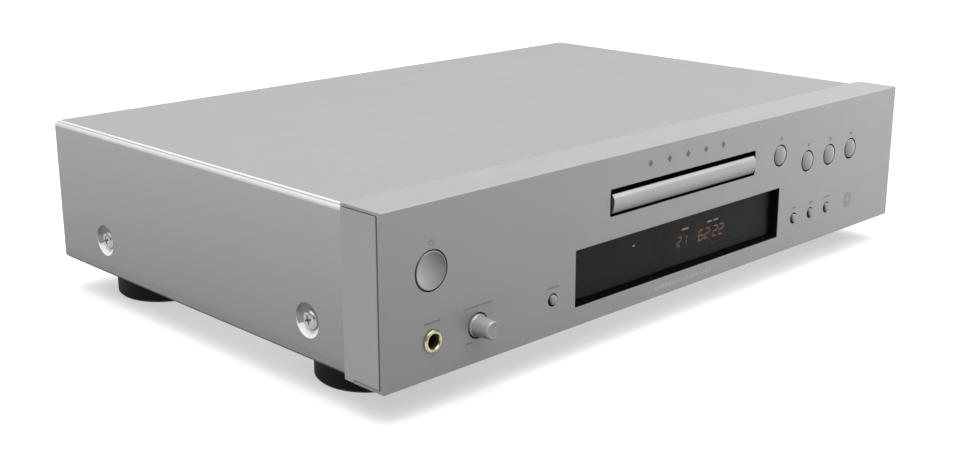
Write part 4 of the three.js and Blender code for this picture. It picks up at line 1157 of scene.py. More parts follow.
mark("symbol_level", "label_ink",
     *dashes(KX - 9.4, KX + 8.9, z - 0.5, z + 0.5, 14, fill=0.7, rise=0.5))
mark("symbol_level_min", "label_ink", *dashes(KX - 8.0, KX - 4.4, KZ - 8.1, KZ - 7.1, 3))
mark("panel_ornament", "ink", *[[(x, 73.9), (x + 1.8, 76.0), (x, 78.1), (x - 1.8, 76.0)]
                                for x in (-32.2, -16.2, -0.2, 15.8, 31.8)])
mark("panel_gold_dashes", "gold_ink", *dashes(-25.0, 25.5, 4.1, 6.3, 17, fill=0.78))
mark("symbol_disc", "pale_ink",
     *[ring_arc(167.5, 19, 3.25, a, a + 174, 3.3, n=40) for a in (3, 183)])

# ------------------------------------------------------------------ feet
FOOT_H, FOOT_R = 16.2, 28.0
FOOT_PROFILE = [  # radius, height, corner radius
    (0, 8), (5.5, 8, 0.3), (5.5, 0.15, 0.8), (8, 0), (20.5, 0, 0.2), (21.0, 0.5, 0.2),
    (22.2, 0.5, 0.2), (22.7, 0, 0.2), (FOOT_R - 1.6, 0, 1.2), (FOOT_R, 1.7, 1.0),
    (FOOT_R, 12.2, 0.25), (FOOT_R - 0.5, 12.5, 0.15), (FOOT_R - 0.5, 13.1, 0.15),
    (FOOT_R, 13.4, 0.25), (FOOT_R, FOOT_H + 3.2, 0.5), (0, FOOT_H + 3.2)]
for corner in ("front_left", "front_right", "rear_left", "rear_right"):
    x, y, _ = middle(f"foot_{corner}")
    part(lathe(rounded(FOOT_PROFILE), "Z", (x, y, -FOOT_H), 128), f"foot_{corner}", "rubber",
         bevel=0, angle=35)
    extra(small_screw(x, y, -FOOT_H + 7.98, DOWNWARD, r=4.2, h=1.8), f"foot_screw_{corner}",
          "screw", slot="steel", bevel=0.08, split=True)

# ------------------------------------------------------------------ gear teeth
PRESSURE = math.pi / 9


def gear_outline(module, teeth, thin, phase, steps=6):
    """Involute teeth, each thinned by thin along the pitch circle."""
    pitch_r = module * teeth / 2
    base_r = pitch_r * math.cos(PRESSURE)
    tip_r, root_r = pitch_r + 0.85 * module, pitch_r - 1.15 * module

    def involute(r):
        a = math.acos(min(1.0, base_r / r))
        return math.tan(a) - a
    half = math.pi / (2 * teeth) - thin / (2 * pitch_r) + involute(pitch_r)
    radii = [root_r] + [base_r + (tip_r - base_r) * i / steps for i in range(steps + 1)]
    flank = [(r, half - involute(max(r, base_r))) for r in radii]
    points = []
    for i in range(teeth):
        c = phase + TAU * i / teeth
        points += [(r * math.cos(c - a), r * math.sin(c - a)) for r, a in flank]
        points += [(r * math.cos(c + a), r * math.sin(c + a)) for r, a in reversed(flank)]
    return points


def gear(module, teeth, z0, z1, phase=0.0, thin=0.14):
    return prism(gear_outline(module, teeth, thin, phase), "Z", z0, z1)


def rack(module, pitch_x, back_x, y0, y1, z0, z1, tooth_y, side, thin=0.14):
    """Straight rack along y whose teeth point to side; tooth_y is one tooth's middle."""
    pitch, slope = math.pi * module, math.tan(PRESSURE)
    tip_x, root_x = pitch_x + side * 0.8 * module, pitch_x - side * 1.15 * module
    tip_half = pitch / 4 - thin / 2 - 0.8 * module * slope
    root_half = pitch / 4 - thin / 2 + 1.15 * module * slope
    points = [(back_x, y0), (root_x, y0)]
    k = math.ceil((y0 - tooth_y + root_half) / pitch)
    while tooth_y + k * pitch + root_half < y1:
        c = tooth_y + k * pitch
        points += [(root_x, c - root_half), (tip_x, c - tip_half), (tip_x, c + tip_half),
                   (root_x, c + root_half)]
        k += 1
    return prism(points + [(root_x, y1), (back_x, y1)], "Z", z0, z1)


TRAY_M, TRAY_GEAR, TRAY_TEETH = 1.25, (42.0, 38.0), 14
WHEEL_M, WHEEL_TEETH, PINION_TEETH = 0.8, 36, 12
SLED_M, SLED_GEAR, SLED_TEETH = 0.6, (36.0, 130.0), 14
PULLEY = middle("pulley_gear")[:2]
MOTOR = middle("motor_pulley")[:2]
DISC_Y = 78.0
HINGE = (178.0, 48.0)  # y, z

# ------------------------------------------------------------------ disc tray
TRAY_Y1, TRAY_Z0, TRAY_Z1 = 190.0, 56.5, 63.0
tray = slab("Z", -62.5, 62.5, 4.6, TRAY_Y1, TRAY_Z0, TRAY_Z1, r=2.0, n=6)
# the well's wall slopes a little so a disc centres itself; it stays within the tray's width
well = lathe([(0, 60.5), (60.2, 60.5), (60.7, 61.0), (61.0, 63.3), (61.0, 66), (0, 66)], "Z",
             seg=144)
tray = cut(tray, moved(well, (0, DISC_Y, 0)))
tray = cut(tray, lathe([(0, 59.3), (40.3, 59.3), (40.9, 60.7), (40.9, 62), (0, 62)], "Z",
                       (0, DISC_Y, 0), 112))
slot_outline = arc(0, DISC_Y, 18, math.pi, 2 * math.pi, 32)
slot_outline += [(18, TRAY_Y1 + 1), (-18, TRAY_Y1 + 1)]
tray = cut(tray, prism(slot_outline, "Z", TRAY_Z0 - 1, TRAY_Z1 + 1))
tray = cut(tray, group(*[slab("Z", x0, x1, 12, 184, TRAY_Z0 - 1, TRAY_Z0 + 1.4, r=2, n=4)
                         for x0, x1 in ((-58, -22), (22, 47))]))
tray = join(tray, rack(TRAY_M, TRAY_GEAR[0] + TRAY_M * TRAY_TEETH / 2, 55.2, 32, 182, 54.0,
                       TRAY_Z0 + 0.2, tooth_y=TRAY_GEAR[1] + math.pi * TRAY_M / 2, side=-1,
                       thin=0.16))
part(tray, "disc_tray", "tray", body="tray", bevel=0.16, angle=34, split=True)
for i, degrees in enumerate((50, 130, 230, 310)):
    angle = math.radians(degrees)
    pad = moved(slab("Z", -2.2, 2.2, -1.1, 1.1, 0, 0.35, r=1.0, n=6),
                (55.5 * math.sin(-angle), DISC_Y + 55.5 * math.cos(-angle), 60.5),
                Matrix.Rotation(angle, 4, "Z"))
    extra(pad, f"tray_felt_pad_{i + 1}", "rubber", slot="rubber", body="tray", bevel=0.1)

# lid bar: one gently bulging section run across the tray
LID_Z0, LID_Z1, BULGE_Z = 54.2, 64.5, 60.6
lid = [(4.3, LID_Z1), (0.9, LID_Z1), (0.45, LID_Z1 - 0.02)]
lid += [(-1.38 + 1.75 * (k / 12) ** 2.6, BULGE_Z + (LID_Z1 - 0.05 - BULGE_Z) * (k / 12))
        for k in range(12, 0, -1)]
lid += [(-1.38 + 1.9 * (k / 14) ** 2.4, BULGE_Z + (LID_Z0 - BULGE_Z) * (k / 14))
        for k in range(15)]
lid += [(0.9, LID_Z0), (4.3, LID_Z0)]
part(prism(lid, "X", -62.4, 62.4), "tray_lid", "lid", body="tray", bevel=0.15, angle=60)

# ------------------------------------------------------------------ loader base and clamp
BASE_Z = 34.0
BASE_IN = BASE_Z + 1  # walls and bosses start inside the base's plate


def boxes(z0, z1, *plans):
    """Boxes of one height range; a plan is x0, x1, y0, y1."""
    return group(*[box(*plan, z0, z1) for plan in plans])


base = join(
    slab("Z", -67, 67, 26, 196, BASE_Z, BASE_Z + 2, r=3),
    box(-67, -63.2, 26, 196, BASE_Z + 0.5, 66.5), box(63.2, 67, 26, 196, BASE_Z + 0.5, 66.5),
    box(-65, -58, 26, 196, 51.5, 56.2), box(58, 65, 26, 196, 51.5, 56.2),
    boxes(63.4, 65.2, (-66, -61.3, 30, 58), (61.3, 66, 30, 58), (-66, -61.3, 110, 190),
          (61.3, 66, 110, 190)),
    box(-66.5, 66.5, 193.5, 195.9, BASE_Z + 0.5, 55.5),
    group(*[slab("Z", x - 4, x + 4, y - 4, y + 4, 5, BASE_IN, r=1.2)
            for x, y in ((-62, 36), (62, 36), (-62, 191), (62, 191))]),
    boxes(42, 53, (-64, -47.5, 173, 183), (47.5, 64, 173, 183)),
    boxes(BASE_IN, 39.5, (-60, 60, 52.6, 54.0)),
    boxes(BASE_IN, 39.5, (-60, -34, 58.2, 59.6), (-26, 26, 58.2, 59.6), (34, 60, 58.2, 59.6)),
    group(rod_z(*TRAY_GEAR, 4, BASE_IN, 49.4), rod_z(*PULLEY, 4, BASE_IN, 45.8)),
    group(rod_z(*TRAY_GEAR, 1.6, BASE_Z + 1.5, 55.8, 32),
          rod_z(*PULLEY, 1.6, BASE_Z + 1.5, 52.6, 32)))
base = cut(base, group(slab("Z", -46, 46, 59.6, 190, BASE_Z - 1, BASE_Z + 3, r=3),
                       rod_z(*MOTOR, 12.4, BASE_Z - 1, BASE_Z + 3, 72)),
           rod_x(*HINGE, 2.15, -60, 60, 40))
base = cut(base, boxes(40, 49, *[(s * 68.5 - 3, s * 68.5 + 3, y, y + 14)
                                 for s in (-1, 1) for y in (64, 92, 120, 148)]))
part(base, "loader_base", "black", bevel=0, angle=40)

bridge = join(box(-70, 70, 60, 96, 67.4, 68.8), box(-70, -68.6, 60, 96, 52, 68.5),
              box(68.6, 70, 60, 96, 52, 68.5))
bridge = cut(bridge, group(rod_z(0, DISC_Y, 12.2, 66, 70, 80),
                           slab("Z", -52, -26, 66, 90, 66, 70, r=3),
                           slab("Z", 26, 52, 66, 90, 66, 70, r=3)))
part(bridge, "clamp_bridge", "zinc", bevel=0.25, seg=3)
profile = [(0, 64.5), (14.4, 64.5, 0.5), (14.4, 66.4, 0.3), (11.6, 66.8, 0.2),
           (11.6, 69.3, 0.1), (13.6, 69.3, 0.2), (13.6, 70.3, 0.2), (6, 70.3, 0.2),
           (5.5, 69.6, 0.2), (0, 69.6)]
pits = [rod_z(9.4 * math.cos(TAU * i / 6), DISC_Y + 9.4 * math.sin(TAU * i / 6), 1.1, 69.4, 71,
              24) for i in range(6)]
puck = cut(lathe(rounded(profile, n=4), "Z", (0, DISC_Y, 0), 96), group(*pits))
part(puck, "clamp_puck", "black", body="clamp", bevel=0.06, angle=40)


# ------------------------------------------------------------------ tray drive
def motor(x, y, r, z0, z1, boss_z, shaft_z, shaft_r, boss_r):
    """Can motor: rolled can from z0 to z1, then its boss and its shaft."""
    profile = [(0, z0), (r * 0.42, z0, 0.2), (r * 0.42, z0 + 0.5, 0.2), (r - 0.6, z0 + 0.5, 0.3),
               (r, z0 + 1.6, 0.6), (r, z1 - 0.8, 0.3), (r - 0.4, z1, 0.3), (boss_r, z1, 0.2),
               (boss_r, boss_z, 0.2), (shaft_r, boss_z, 0.1), (shaft_r, shaft_z, 0.15),
               (0, shaft_z)]
    return lathe(rounded(profile, n=4), "Z", (x, y, 0), 72)


part(motor(*MOTOR, r=12, z0=24, z1=44.6, boss_z=45.6, shaft_z=49.4, shaft_r=1.0, boss_r=3.0),
     "loading_motor", "zinc", bevel=0, angle=35)
profile = [(1.15, 46.2), (5, 46.2, 0.2), (5, 46.8, 0.15), (3, 47.2, 0.3), (3, 48.8, 0.3),
           (5, 49.2, 0.15), (5, 49.8, 0.2), (1.15, 49.8)]
part(lathe(rounded(profile, closed=True, n=4), "Z", (*MOTOR, 0), 72), "motor_pulley", "acetal",
     body="motor_pulley", bevel=0, angle=40)

wheel = join(gear(WHEEL_M, WHEEL_TEETH, 50.2, 52.4),
             gear(TRAY_M, TRAY_TEETH, 52.0, 56.2, thin=0.16), rod_z(0, 0, 5, 49.8, 50.6))
# the wheel is webbed: a ring sunk into its underside
wheel = cut(wheel, rod_z(0, 0, 1.75, 45, 58, 40),
            lathe([(7.5, 49), (12.2, 49), (12.0, 51.0), (7.7, 51.0)], "Z", seg=72))
part(moved(wheel, (*TRAY_GEAR, 0)), "tray_drive_gear", "acetal", body="tray_gear", bevel=0.05,
     seg=1, angle=45)

# the pinion is turned so its teeth sit in the wheel's gaps
to_wheel = math.atan2(TRAY_GEAR[1] - PULLEY[1], TRAY_GEAR[0] - PULLEY[0])
fraction = ((to_wheel + math.pi) / TAU * WHEEL_TEETH) % 1
phase = to_wheel + (0.5 + fraction) * TAU / PINION_TEETH
profile = [(1.75, 46.2), (13, 46.2, 0.2), (13, 46.8, 0.2), (11, 47.2, 0.4), (11, 48.8, 0.4),
           (13, 49.2, 0.2), (13, 49.6, 0.2), (3.6, 49.6), (3.6, 50.4), (1.75, 50.4)]
pulley = join(lathe(rounded(profile, closed=True, n=4), "Z", seg=96),
              cut(gear(WHEEL_M, PINION_TEETH, 50.2, 52.6, phase), rod_z(0, 0, 1.75, 45, 58, 40)))
part(moved(pulley, (*PULLEY, 0)), "pulley_gear", "acetal", body="pulley", bevel=0, angle=45)


def belt_outline(c1, r1, c2, r2, n=64):
    dx, dy = c2[0] - c1[0], c2[1] - c1[1]
    toward = math.atan2(dy, dx)
    a = math.acos((r1 - r2) / math.hypot(dx, dy))
    return (arc(*c1, r1, toward + a, toward + TAU - a, n)
            + arc(*c2, r2, toward - a, toward + a, n // 2))


belt = cut(prism(belt_outline(PULLEY, 12.7, MOTOR, 4.7), "Z", 47.35, 48.65),
           prism(belt_outline(PULLEY, 11.3, MOTOR, 3.3), "Z", 46, 50))
part(belt, "drive_belt", "belt", bevel=0.25, seg=3, split=True)

# cam slider with two sloping slots for the traverse's pins
PIN_X, PIN_Z = (-30, 30), 46.3
FALL, RUN, SLOT_R = 7.39, 16.0, 1.9
length = math.hypot(RUN, FALL)
ux, uz = RUN / length, -FALL / length
slope = math.atan2(uz, ux)
cam = slab("Y", -36, 52, 36.3, 52, 54.6, 57.6, r=1.2)
for x in PIN_X:
    pill = arc(x + RUN + ux * 0.6, PIN_Z - FALL + uz * 0.6, SLOT_R, slope - QUARTER,
               slope + QUARTER, 16)
    pill += arc(x - ux * 0.6, PIN_Z - uz * 0.6, SLOT_R, slope + QUARTER, slope + 3 * QUARTER, 16)
    cam = cut(cam, prism(pill, "Y", 54, 58))
cam = cut(cam, slab("Y", -20, -4, 38.5, 50, 54, 58, r=1.5))
part(cam, "cam_slider", "acetal", body="cam", split=True)

# ------------------------------------------------------------------ traverse
ROD_X, ROD_Z = 26, 50.5
traverse = join(
    slab("Z", -44, 44, 60.4, 172, 44.5, 48.1, r=2, n=4),
    boxes(45, 51, (-44, -37, 170, 181), (37, 44, 170, 181)),
    box(-43.8, 43.8, 170.2, 172.8, 44.6, 50),
    group(rod_x(*HINGE, 2, 42, 50.5, 40), rod_x(*HINGE, 2, -50.5, -42, 40)),
    group(*[rod_y(x, PIN_Z, 1.5, 54.4, 61, 36) for x in PIN_X]),
    boxes(47, 53.2, (-29.2, -22.5, 89.6, 92.8), (22.5, 29.2, 89.6, 92.8),
          (-29.2, -22.5, 168.4, 171.6), (22.5, 29.2, 168.4, 171.6)))
traverse = cut(
    traverse,
    group(slab("Z", -30, 30, 93, 168, 44, 49, r=2), rod_z(0, DISC_Y, 4.6, 44, 49),
          rod_z(*SLED_GEAR, 2.4, 44, 49)),
    group(*[rod_y(x, ROD_Z, 1.65, 88, 174, 32) for x in (-ROD_X, ROD_X)]))
traverse = cut(traverse, group(*[
    slab("Z", s * 37 - 3, s * 37 + 3, y0, y1, 46.8, 49, r=1.5)
    for s in (-1, 1) for y0, y1 in ((66, 84), (88, 106), (146, 164))]))
part(traverse, "traverse_frame", "black", body="traverse", bevel=0.045, angle=40)
part(motor(0, DISC_Y, r=12, z0=35, z1=44.2, boss_z=47.4, shaft_z=47.4, shaft_r=2.0, boss_r=4.2),
     "spindle_motor", "zinc", body="traverse", bevel=0, angle=35)
profile = [(0, 47.8), (2.6, 47.8, 0.3), (2.6, 57.4, 0.8), (13.4, 57.8, 0.4), (14.5, 58.6, 0.3),
           (14.5, 61.5, 0.3), (7.4, 61.5, 0.2), (7.4, 62.6, 0.3), (6.2, 64, 0.5), (0, 64)]
part(lathe(rounded(profile, n=4), "Z", (0, DISC_Y, 0), 96), "turntable", "black",
     body="turntable", bevel=0, angle=35)
for side, x in (("left", -ROD_X), ("right", ROD_X)):
    profile = [(0, 89.8), (1.3, 89.8), (1.5, 90.0), (1.5, 171.2), (1.3, 171.4), (0, 171.4)]
    part(lathe(profile, "Y", (x, 0, ROD_Z), 48), f"guide_rod_{side}", "screw", body="traverse",
         bevel=0, angle=50)

# ------------------------------------------------------------------ pickup sled
LENS_Y = 101
sled = join(
    slab("Z", -22, 22, 94.5, 126, 46.5, 53.6, r=2, n=4),
    boxes(48.4, 53.2, (-30, -21, 98, 122), (21, 29.4, 105, 113)),
    slab("Z", -9, 9, 93.6, 110, 53, 58.2, r=1.5), box(21, 30.8, 113.2, 117, 51.9, 53.2))
sled = cut(sled, group(*[rod_y(x, ROD_Z, 1.65, 90, 130, 32) for x in (-ROD_X, ROD_X)]),
           rod_z(0, LENS_Y, 4.3, 55.4, 60, 56))
sled = join(sled, rack(SLED_M, SLED_GEAR[0] - SLED_M * SLED_TEETH / 2, 29.6, 95, 134, 49.6, 52.4,
                       tooth_y=SLED_GEAR[1] + math.pi * SLED_M / 2, side=1))
sled = cut(sled, rod_y(ROD_X, ROD_Z, 1.65, 90, 140, 32),
           group(slab("Z", -18, -11, 99, 120, 52.6, 55, r=1),
                 slab("Z", 11, 18, 99, 120, 52.6, 55, r=1)))
part(sled, "pickup_sled", "grey", body="sled", bevel=0, angle=40)
lens = rounded([(0, 56.4), (3.7, 56.4, 0.2), (3.7, 58.4, 0.2), (3.05, 58.5)], n=3)
lens += [(3.0 * math.cos(math.radians(a)), 58.5 + 0.75 * math.sin(math.radians(a)))
         for a in range(6, 90, 7)]
part(lathe(lens + [(0, 59.25)], "Z", (0, LENS_Y, 0), 64), "objective_lens", "lens", body="lens",
     bevel=0, angle=40)
sled_gear = cut(join(gear(SLED_M, SLED_TEETH, 49.7, 52.3, math.pi), rod_z(0, 0, 2, 45.2, 50)),
                rod_z(0, 0, 0.9, 44, 54, 32))
part(moved(sled_gear, (*SLED_GEAR, 0)), "sled_gear", "acetal", body="sled_gear", bevel=0.05,
     seg=1, angle=45)
part(motor(*SLED_GEAR, r=8, z0=32, z1=43.6, boss_z=44.9, shaft_z=52.2, shaft_r=0.7, boss_r=2.2),
     "sled_motor", "zinc", body="traverse", bevel=0, angle=35)

# ------------------------------------------------------------------ control board
control_board = join(slab("Y", -206, 206, 5, 44, 18, 19.6, r=1.5),
                     slab("Y", -206, -168, 40, 68, 18, 19.6, r=1.5),
                     slab("Y", 80, 206, 40, 72, 18, 19.6, r=1.5))
part(control_board, "control_board", "board", bevel=0.1)
for node in ["power_button", "eject_button"] + TRIO_NODES + SMALL_NODES + ["display_button"]:
    x, z = face_spot(node)
    # a dome contact on the board, behind the button's stem
    contact = lathe([(0, 17.5), (1.2, 17.55), (2.4, 17.75), (3.0, 17.99), (0, 17.99)], "Y",
                    (x, 0, z), 48)
    extra(contact, f"dome_contact_{node}", "screw", slot="steel", bevel=0)

# ------------------------------------------------------------------ main board
BOARD_TOP = 11.6
main_board = cut(slab("Z", 84, 206, 108, 282, 10, BOARD_TOP, r=2), box(198, 210, 270, 290, 9, 13))
part(main_board, "main_board", "board", bevel=0.1)


def chip(name, x, y, wx, wy, h, pins):
    """Small-outline chip: a body with a sloped edge, and a row of legs front and back."""
    z0, seat = BOARD_TOP, BOARD_TOP + 0.3
    verts = [(x + sx * (wx / 2 - g), y + sy * (wy / 2 - g), z)
             for z, g in ((seat, 0.25), (seat + h / 2, 0), (seat + h, 0.25))
             for sx, sy in ((-1, -1), (1, -1), (1, 1), (-1, 1))]
    faces = [(3, 2, 1, 0), (8, 9, 10, 11)]
    faces += [(4 * k + i, 4 * k + (i + 1) % 4, 4 * k + 4 + (i + 1) % 4, 4 * k + 4 + i)
              for k in (0, 1) for i in range(4)]
    extra(mesh(verts, faces), name, "black", slot="black_plastic", bevel=0.06)
    leg = [(-0.1, seat + h * 0.45), (0.7, seat + h * 0.45), (0.9, z0 + 0.25), (1.6, z0 + 0.25),
           (1.6, z0 + 0.02), (0.7, z0 + 0.02), (0.5, seat + h * 0.3), (-0.1, seat + h * 0.3)]
    legs = []
    for i in range(pins):
        leg_x = x - wx / 2 + wx * (i + 0.5) / pins
        for s in (-1, 1):
            legs.append(prism([(s * (wy / 2 + out) + y, z) for out, z in leg], "X",
                              leg_x - 0.2, leg_x + 0.2))
    extra(group(*legs), name + "_legs", "screw", slot="steel", bevel=0, clean=False)


CHIPS = [  # x, y, width, depth, height, pins on a side
    (120, 190, 14, 14, 1.6, 10), (108, 220, 9, 5, 1.4, 7), (150, 225, 9, 5, 1.4, 7),
    (175, 235, 10, 6, 1.4, 8), (130, 240, 6, 4, 1.2, 4), (104, 170, 6, 4, 1.2, 4)]
for i, row in enumerate(CHIPS):
    chip(f"chip_{i + 1}", *row)


def electrolytic(x, y, z0, r, h):
    profile = [(0, 0), (r * 0.93, 0, 0.2), (r, 0.5, 0.2), (r, h * 0.12, 0.3),
               (r * 0.94, h * 0.15, 0.4), (r, h * 0.18, 0.3), (r, h - 0.8, 0.5),
               (r * 0.86, h, 0.15), (r * 0.8, h - 0.25, 0.1), (0, h - 0.25)]
    return lathe(rounded(profile, n=4), "Z", (x, y, z0), 72)


x, y, _ = middle("filter_capacitor")
part(electrolytic(x, y, 11.9, 9, 30), "filter_capacitor", "sleeve", bevel=0, angle=35)
CAPACITORS = [  # x, y, radius, height
    (100, 150, 5, 16), (100, 138, 5, 16), (146, 142, 4, 12), (190, 212, 3.2, 11),
    (182, 212, 3.2, 11), (142, 255, 2.6, 8), (160, 255, 2.6, 8)]
for i, (x, y, r, h) in enumerate(CAPACITORS):
    extra(electrolytic(x, y, 11.65, r, h), f"capacitor_{i + 1}", "sleeve", slot="black_steel",
          bevel=0, angle=35)

# heat sink: a comb of eight tapered fins
sink_x = middle("heat_sink")[0]
sink_y = (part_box("heat_sink")[0].y - ORIGIN.y) * 1000
comb = [(-28, 0), (28, 0), (28, 3)]
for i in reversed(range(8)):
    x0, x1 = -28 + 7.6 * i, -26.2 + 7.6 * i
    comb += [(x1, 3), (x1 - 0.25, 15.7), (x1 - 0.6, 16), (x0 + 0.6, 16), (x0 + 0.25, 15.7),
             (x0, 3)]
comb.pop()  # the last fin's outer wall runs straight to the base's corner
part(prism([(sink_x + a, sink_y + b) for a, b in comb], "Z", 11.9, 41.9), "heat_sink", "fin",
     bevel=0.15)

# ------------------------------------------------------------------ transformer and cable
TX, TY = -150.0, 196.0
core = cut(box(TX - 33, TX + 33, TY - 18, TY + 18, 5, 60),
           boxes(16, 49, (TX - 22, TX - 10, TY - 20, TY + 20),
                 (TX + 10, TX + 22, TY - 20, TY + 20)))
straps = group(slab("Z", TX - 40, TX - 32, TY - 12, TY + 12, 5, 6.6, r=2),
               slab("Z", TX + 32, TX + 40, TY - 12, TY + 12, 5, 6.6, r=2))
part(join(core, straps), "power_transformer", "core", "power_transformer_core", bevel=0.25,
     miter="SHARP")
winding = cut(slab("Z", TX - 21.6, TX + 21.6, TY - 29, TY + 29, 16.6, 48.4, r=6, n=6),
              box(TX - 10.3, TX + 10.3, TY - 18.3, TY + 18.3, 10, 60))
core_space = group(box(TX - 40, TX + 40, TY - 18.3, TY + 18.3, 48.4, 60),
                   box(TX - 40, TX - 22, TY - 18.3, TY + 18.3, 10, 60),
                   box(TX + 22, TX + 40, TY - 18.3, TY + 18.3, 10, 60))
extra(cut(winding, core_space), "power_transformer_winding", "winding", slot="copper",
      bevel=0.8, seg=3, split=True, slide=False)
cable = rounded([(50, 33.2), (72, 30, 6), (80, 24, 8), (90, 14, 4), (104, 12.4)], n=8)
part(prism(cable + [(x, z + 0.6) for x, z in reversed(cable)], "Y", 150, 168), "flat_cable",
     "cable", bevel=0.1)


# ------------------------------------------------------------------ rear sockets
def phono(x, z):
    shell = [(3.3, 284.6), (4.3, 284.6), (4.3, 295.9, 0.3), (3.95, 296.5, 0.2),
             (3.5, 296.5, 0.1), (3.3, 296.2, 0.1)]
    inner = [(1.4, 284.2), (4.3, 284.2), (4.3, 289), (1.4, 289)]
    return group(join(lathe(rounded(shell, closed=True, n=4), "Y", (x, 0, z), 72),
                      lathe(inner, "Y", (x, 0, z), 72)))


part(phono(*LEFT_OUT), "analog_output_jacks", "gold", "analog_jack_left", bevel=0, angle=40)
extra(phono(*RIGHT_OUT), "analog_jack_right", "gold", slot="gold", bevel=0, angle=40)
extra(slab("Y", 141, 159, 12, 53, 268, 284.0, r=1), "analog_jack_block", "black",
      slot="black_plastic", bevel=0.3)
for name, (x, z), colour in (("left", LEFT_OUT, "white"), ("right", RIGHT_OUT, "red"),
                             ("coaxial", COAX, "orange")):
    insulator = lathe([(0, 289.02), (3.1, 289.02), (3.1, 289.9), (2.7, 290.2), (1.9, 290.2),
                       (1.7, 289.6), (0, 289.6)], "Y", (x, 0, z), 56)
    extra(insulator, f"phono_insulator_{name}", colour, slot="white_plastic", bevel=0)
extra(phono(*COAX), "coaxial_jack_shell", "gold", slot="gold", bevel=0, angle=40)
digital = join(slab("Y", 80, 120, 12, 36, 268, 284.0, r=1),
               around(OPTICAL, 5, 5, 283.5, 288.5, 0.7))
part(cut(digital, around(OPTICAL, 3.6, 3.6, 286.5, 290, 0.5)), "digital_output_jacks", "black",
     "digital_output_block", bevel=0.12)
extra(around(OPTICAL, 3.4, 3.4, 286.55, 286.95, 0.4), "optical_shutter", "grey",
      slot="black_plastic", bevel=0.1)
remote = join(slab("Y", 178, 190, 12, 32, 270, 284.8, r=0.8), rod_y(*REMOTE, 3.1, 284, 288))
part(cut(remote, rod_y(*REMOTE, 1.8, 276, 290, 40)), "remote_jack", "black", bevel=0.12)

ax, az = MAINS
inlet = join(around(MAINS, 13.6, 10, 268, 288, 1), around(MAINS, 20, 12, 286.7, 288.6, 3))
recess = [(ax - 11.6, az - 7.6), (ax + 11.6, az - 7.6), (ax + 11.6, az + 3.6),
          (ax + 7.8, az + 7.6), (ax - 7.8, az + 7.6), (ax - 11.6, az + 3.6)]
inlet = cut(inlet, prism(rounded(recess, every=0.8, closed=True), "Y", 272, 290))
part(inlet, "power_inlet", "black", "power_inlet_shell", bevel=0.15)
for i, (dx, dz) in enumerate([(-7, -1.5), (7, -1.5), (0, 3)]):
    x, z = ax + dx, az + dz
    blade = prism([(271.8, z - 2), (283.5, z - 2), (285, z - 1.4), (285, z + 1.4),
                   (283.5, z + 2), (271.8, z + 2)], "X", x - 1, x + 1)
    extra(blade, f"power_inlet_pin_{i + 1}", "screw", slot="steel", bevel=0.15)
for i, s in enumerate((-1, 1)):
    extra(small_screw(ax + s * 17.2, 288.62, az, REARWARD, r=1.9, h=0.8),
          f"power_inlet_screw_{i + 1}", "screw", slot="steel", bevel=0.05)


# ------------------------------------------------------------------ stage
def floor_material():
    """A light table: its pale sheet glows evenly, so shadows on it stay light."""
    sh = Shader("pale_floor")
    sh.put(base_color=sh.blend(sh.remap(sh.noise(1.5, 2)), (0.418,) * 3, (0.422,) * 3),
           roughness=0.9)
    sh.surface.inputs["Specular IOR Level"].default_value = 0.05
    glow = sh.remap(sh.noise(0.8, 2), to=(0.525, 0.535))
    # painted shadow: the glow fades a touch round the object
    away = sh.new("VectorMath", operation="LENGTH")
    sh.feed(sh.coords, away.inputs[0])
    painted_shadow = sh.remap(away.outputs["Value"], to=(-0.012, 0.0), over=(0.22, 0.72),
                    interpolation_type="SMOOTHSTEP")
    sh.put(emission_color=(1, 1, 1), emission_strength=sh.math("ADD", glow, painted_shadow))
    # clear from below, so the underside can be looked at
    sh.mix_surface(sh.new("NewGeometry").outputs["Backfacing"], sh.surface.outputs[0],
                   sh.new("BsdfTransparent").outputs[0])
    return sh.mat


bpy.ops.mesh.primitive_grid_add(x_subdivisions=4, y_subdivisions=4, size=60,
                                location=(0, 0, -0.00005))
floor = bpy.context.object
floor.name = "floor"
floor.data.materials.append(floor_material())

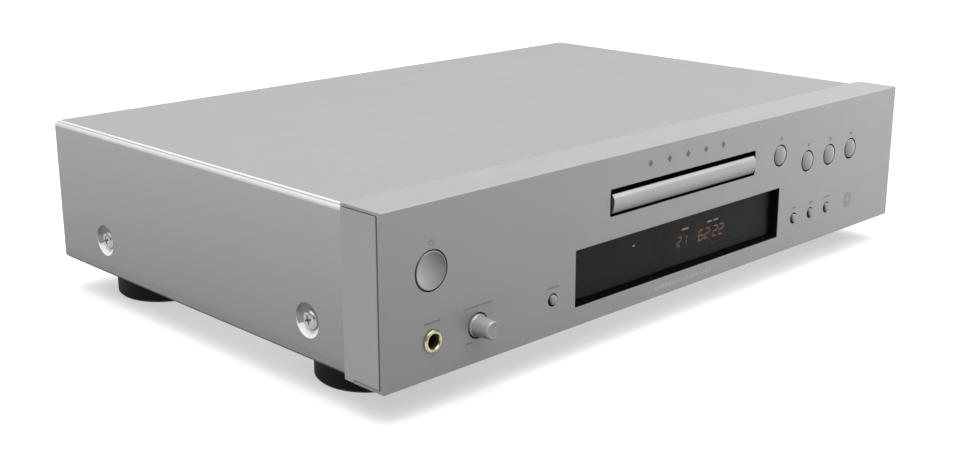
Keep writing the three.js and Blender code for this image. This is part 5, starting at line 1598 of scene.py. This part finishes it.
# an overhead dome: bright at the top and falling off towards the horizon
scene = bpy.context.scene
world = bpy.data.worlds.new("studio")
scene.world = world
world.use_nodes = True
nodes, links = world.node_tree.nodes, world.node_tree.links
background = nodes["Background"]
background.inputs["Color"].default_value = (1, 1, 1, 1)
direction = nodes.new("ShaderNodeSeparateXYZ")
links.new(nodes.new("ShaderNodeTexCoord").outputs["Generated"], direction.inputs[0])
brightness = direction.outputs["Z"]
for operation, number in (("MAXIMUM", 0.0), ("POWER", 4.4), ("MULTIPLY", 6.4), ("ADD", 0.05)):
    node = nodes.new("ShaderNodeMath")
    node.operation = operation
    links.new(brightness, node.inputs[0])
    node.inputs[1].default_value = number
    brightness = node.outputs[0]
links.new(brightness, background.inputs["Strength"])

# a small, narrow light from the front right, aimed at the panel's right end; metres
light = bpy.data.lights.new("right_fill", "AREA")
light.energy, light.spread = 0.17, math.radians(56)
light.shape, light.size, light.size_y = "RECTANGLE", 0.3, 0.3
fill = bpy.data.objects.new("right_fill", light)
fill.location = (0.46, -0.62, 0.46)
aim = Vector((0.20, -0.153, 0.065)) - Vector((0.46, -0.62, 0.46))
fill.rotation_euler = aim.to_track_quat("-Z", "Y").to_euler()
scene.collection.objects.link(fill)

# ------------------------------------------------------------------ camera
EYE = Vector((-586.889, -437.345, 243.531))
AZIMUTH, ELEVATION, ROLL = (math.radians(a) for a in (-44.442, 15.981, -0.064))
camera_data = bpy.data.cameras.new("view")
camera = bpy.data.objects.new("view", camera_data)
scene.collection.objects.link(camera)
scene.camera = camera
camera_data.sensor_width, camera_data.sensor_fit = 36.0, "HORIZONTAL"
camera_data.lens = 51.754547
camera_data.clip_start, camera_data.clip_end = 0.01, 100
back = Vector((math.sin(AZIMUTH) * math.cos(ELEVATION),
               -math.cos(AZIMUTH) * math.cos(ELEVATION), math.sin(ELEVATION)))
right = (-back).cross(Vector((0, 0, 1))).normalized()
up = right.cross(-back)
rolled_right = right * math.cos(ROLL) + up * math.sin(ROLL)
rolled_up = -right * math.sin(ROLL) + up * math.cos(ROLL)
rotation = Matrix((rolled_right, rolled_up, back)).transposed().to_4x4()
camera.matrix_world = Matrix.Translation(TO_ROW @ EYE) @ rotation

scene.view_settings.view_transform = "Standard"
scene.view_settings.look = "None"
scene.view_settings.exposure = 0.0
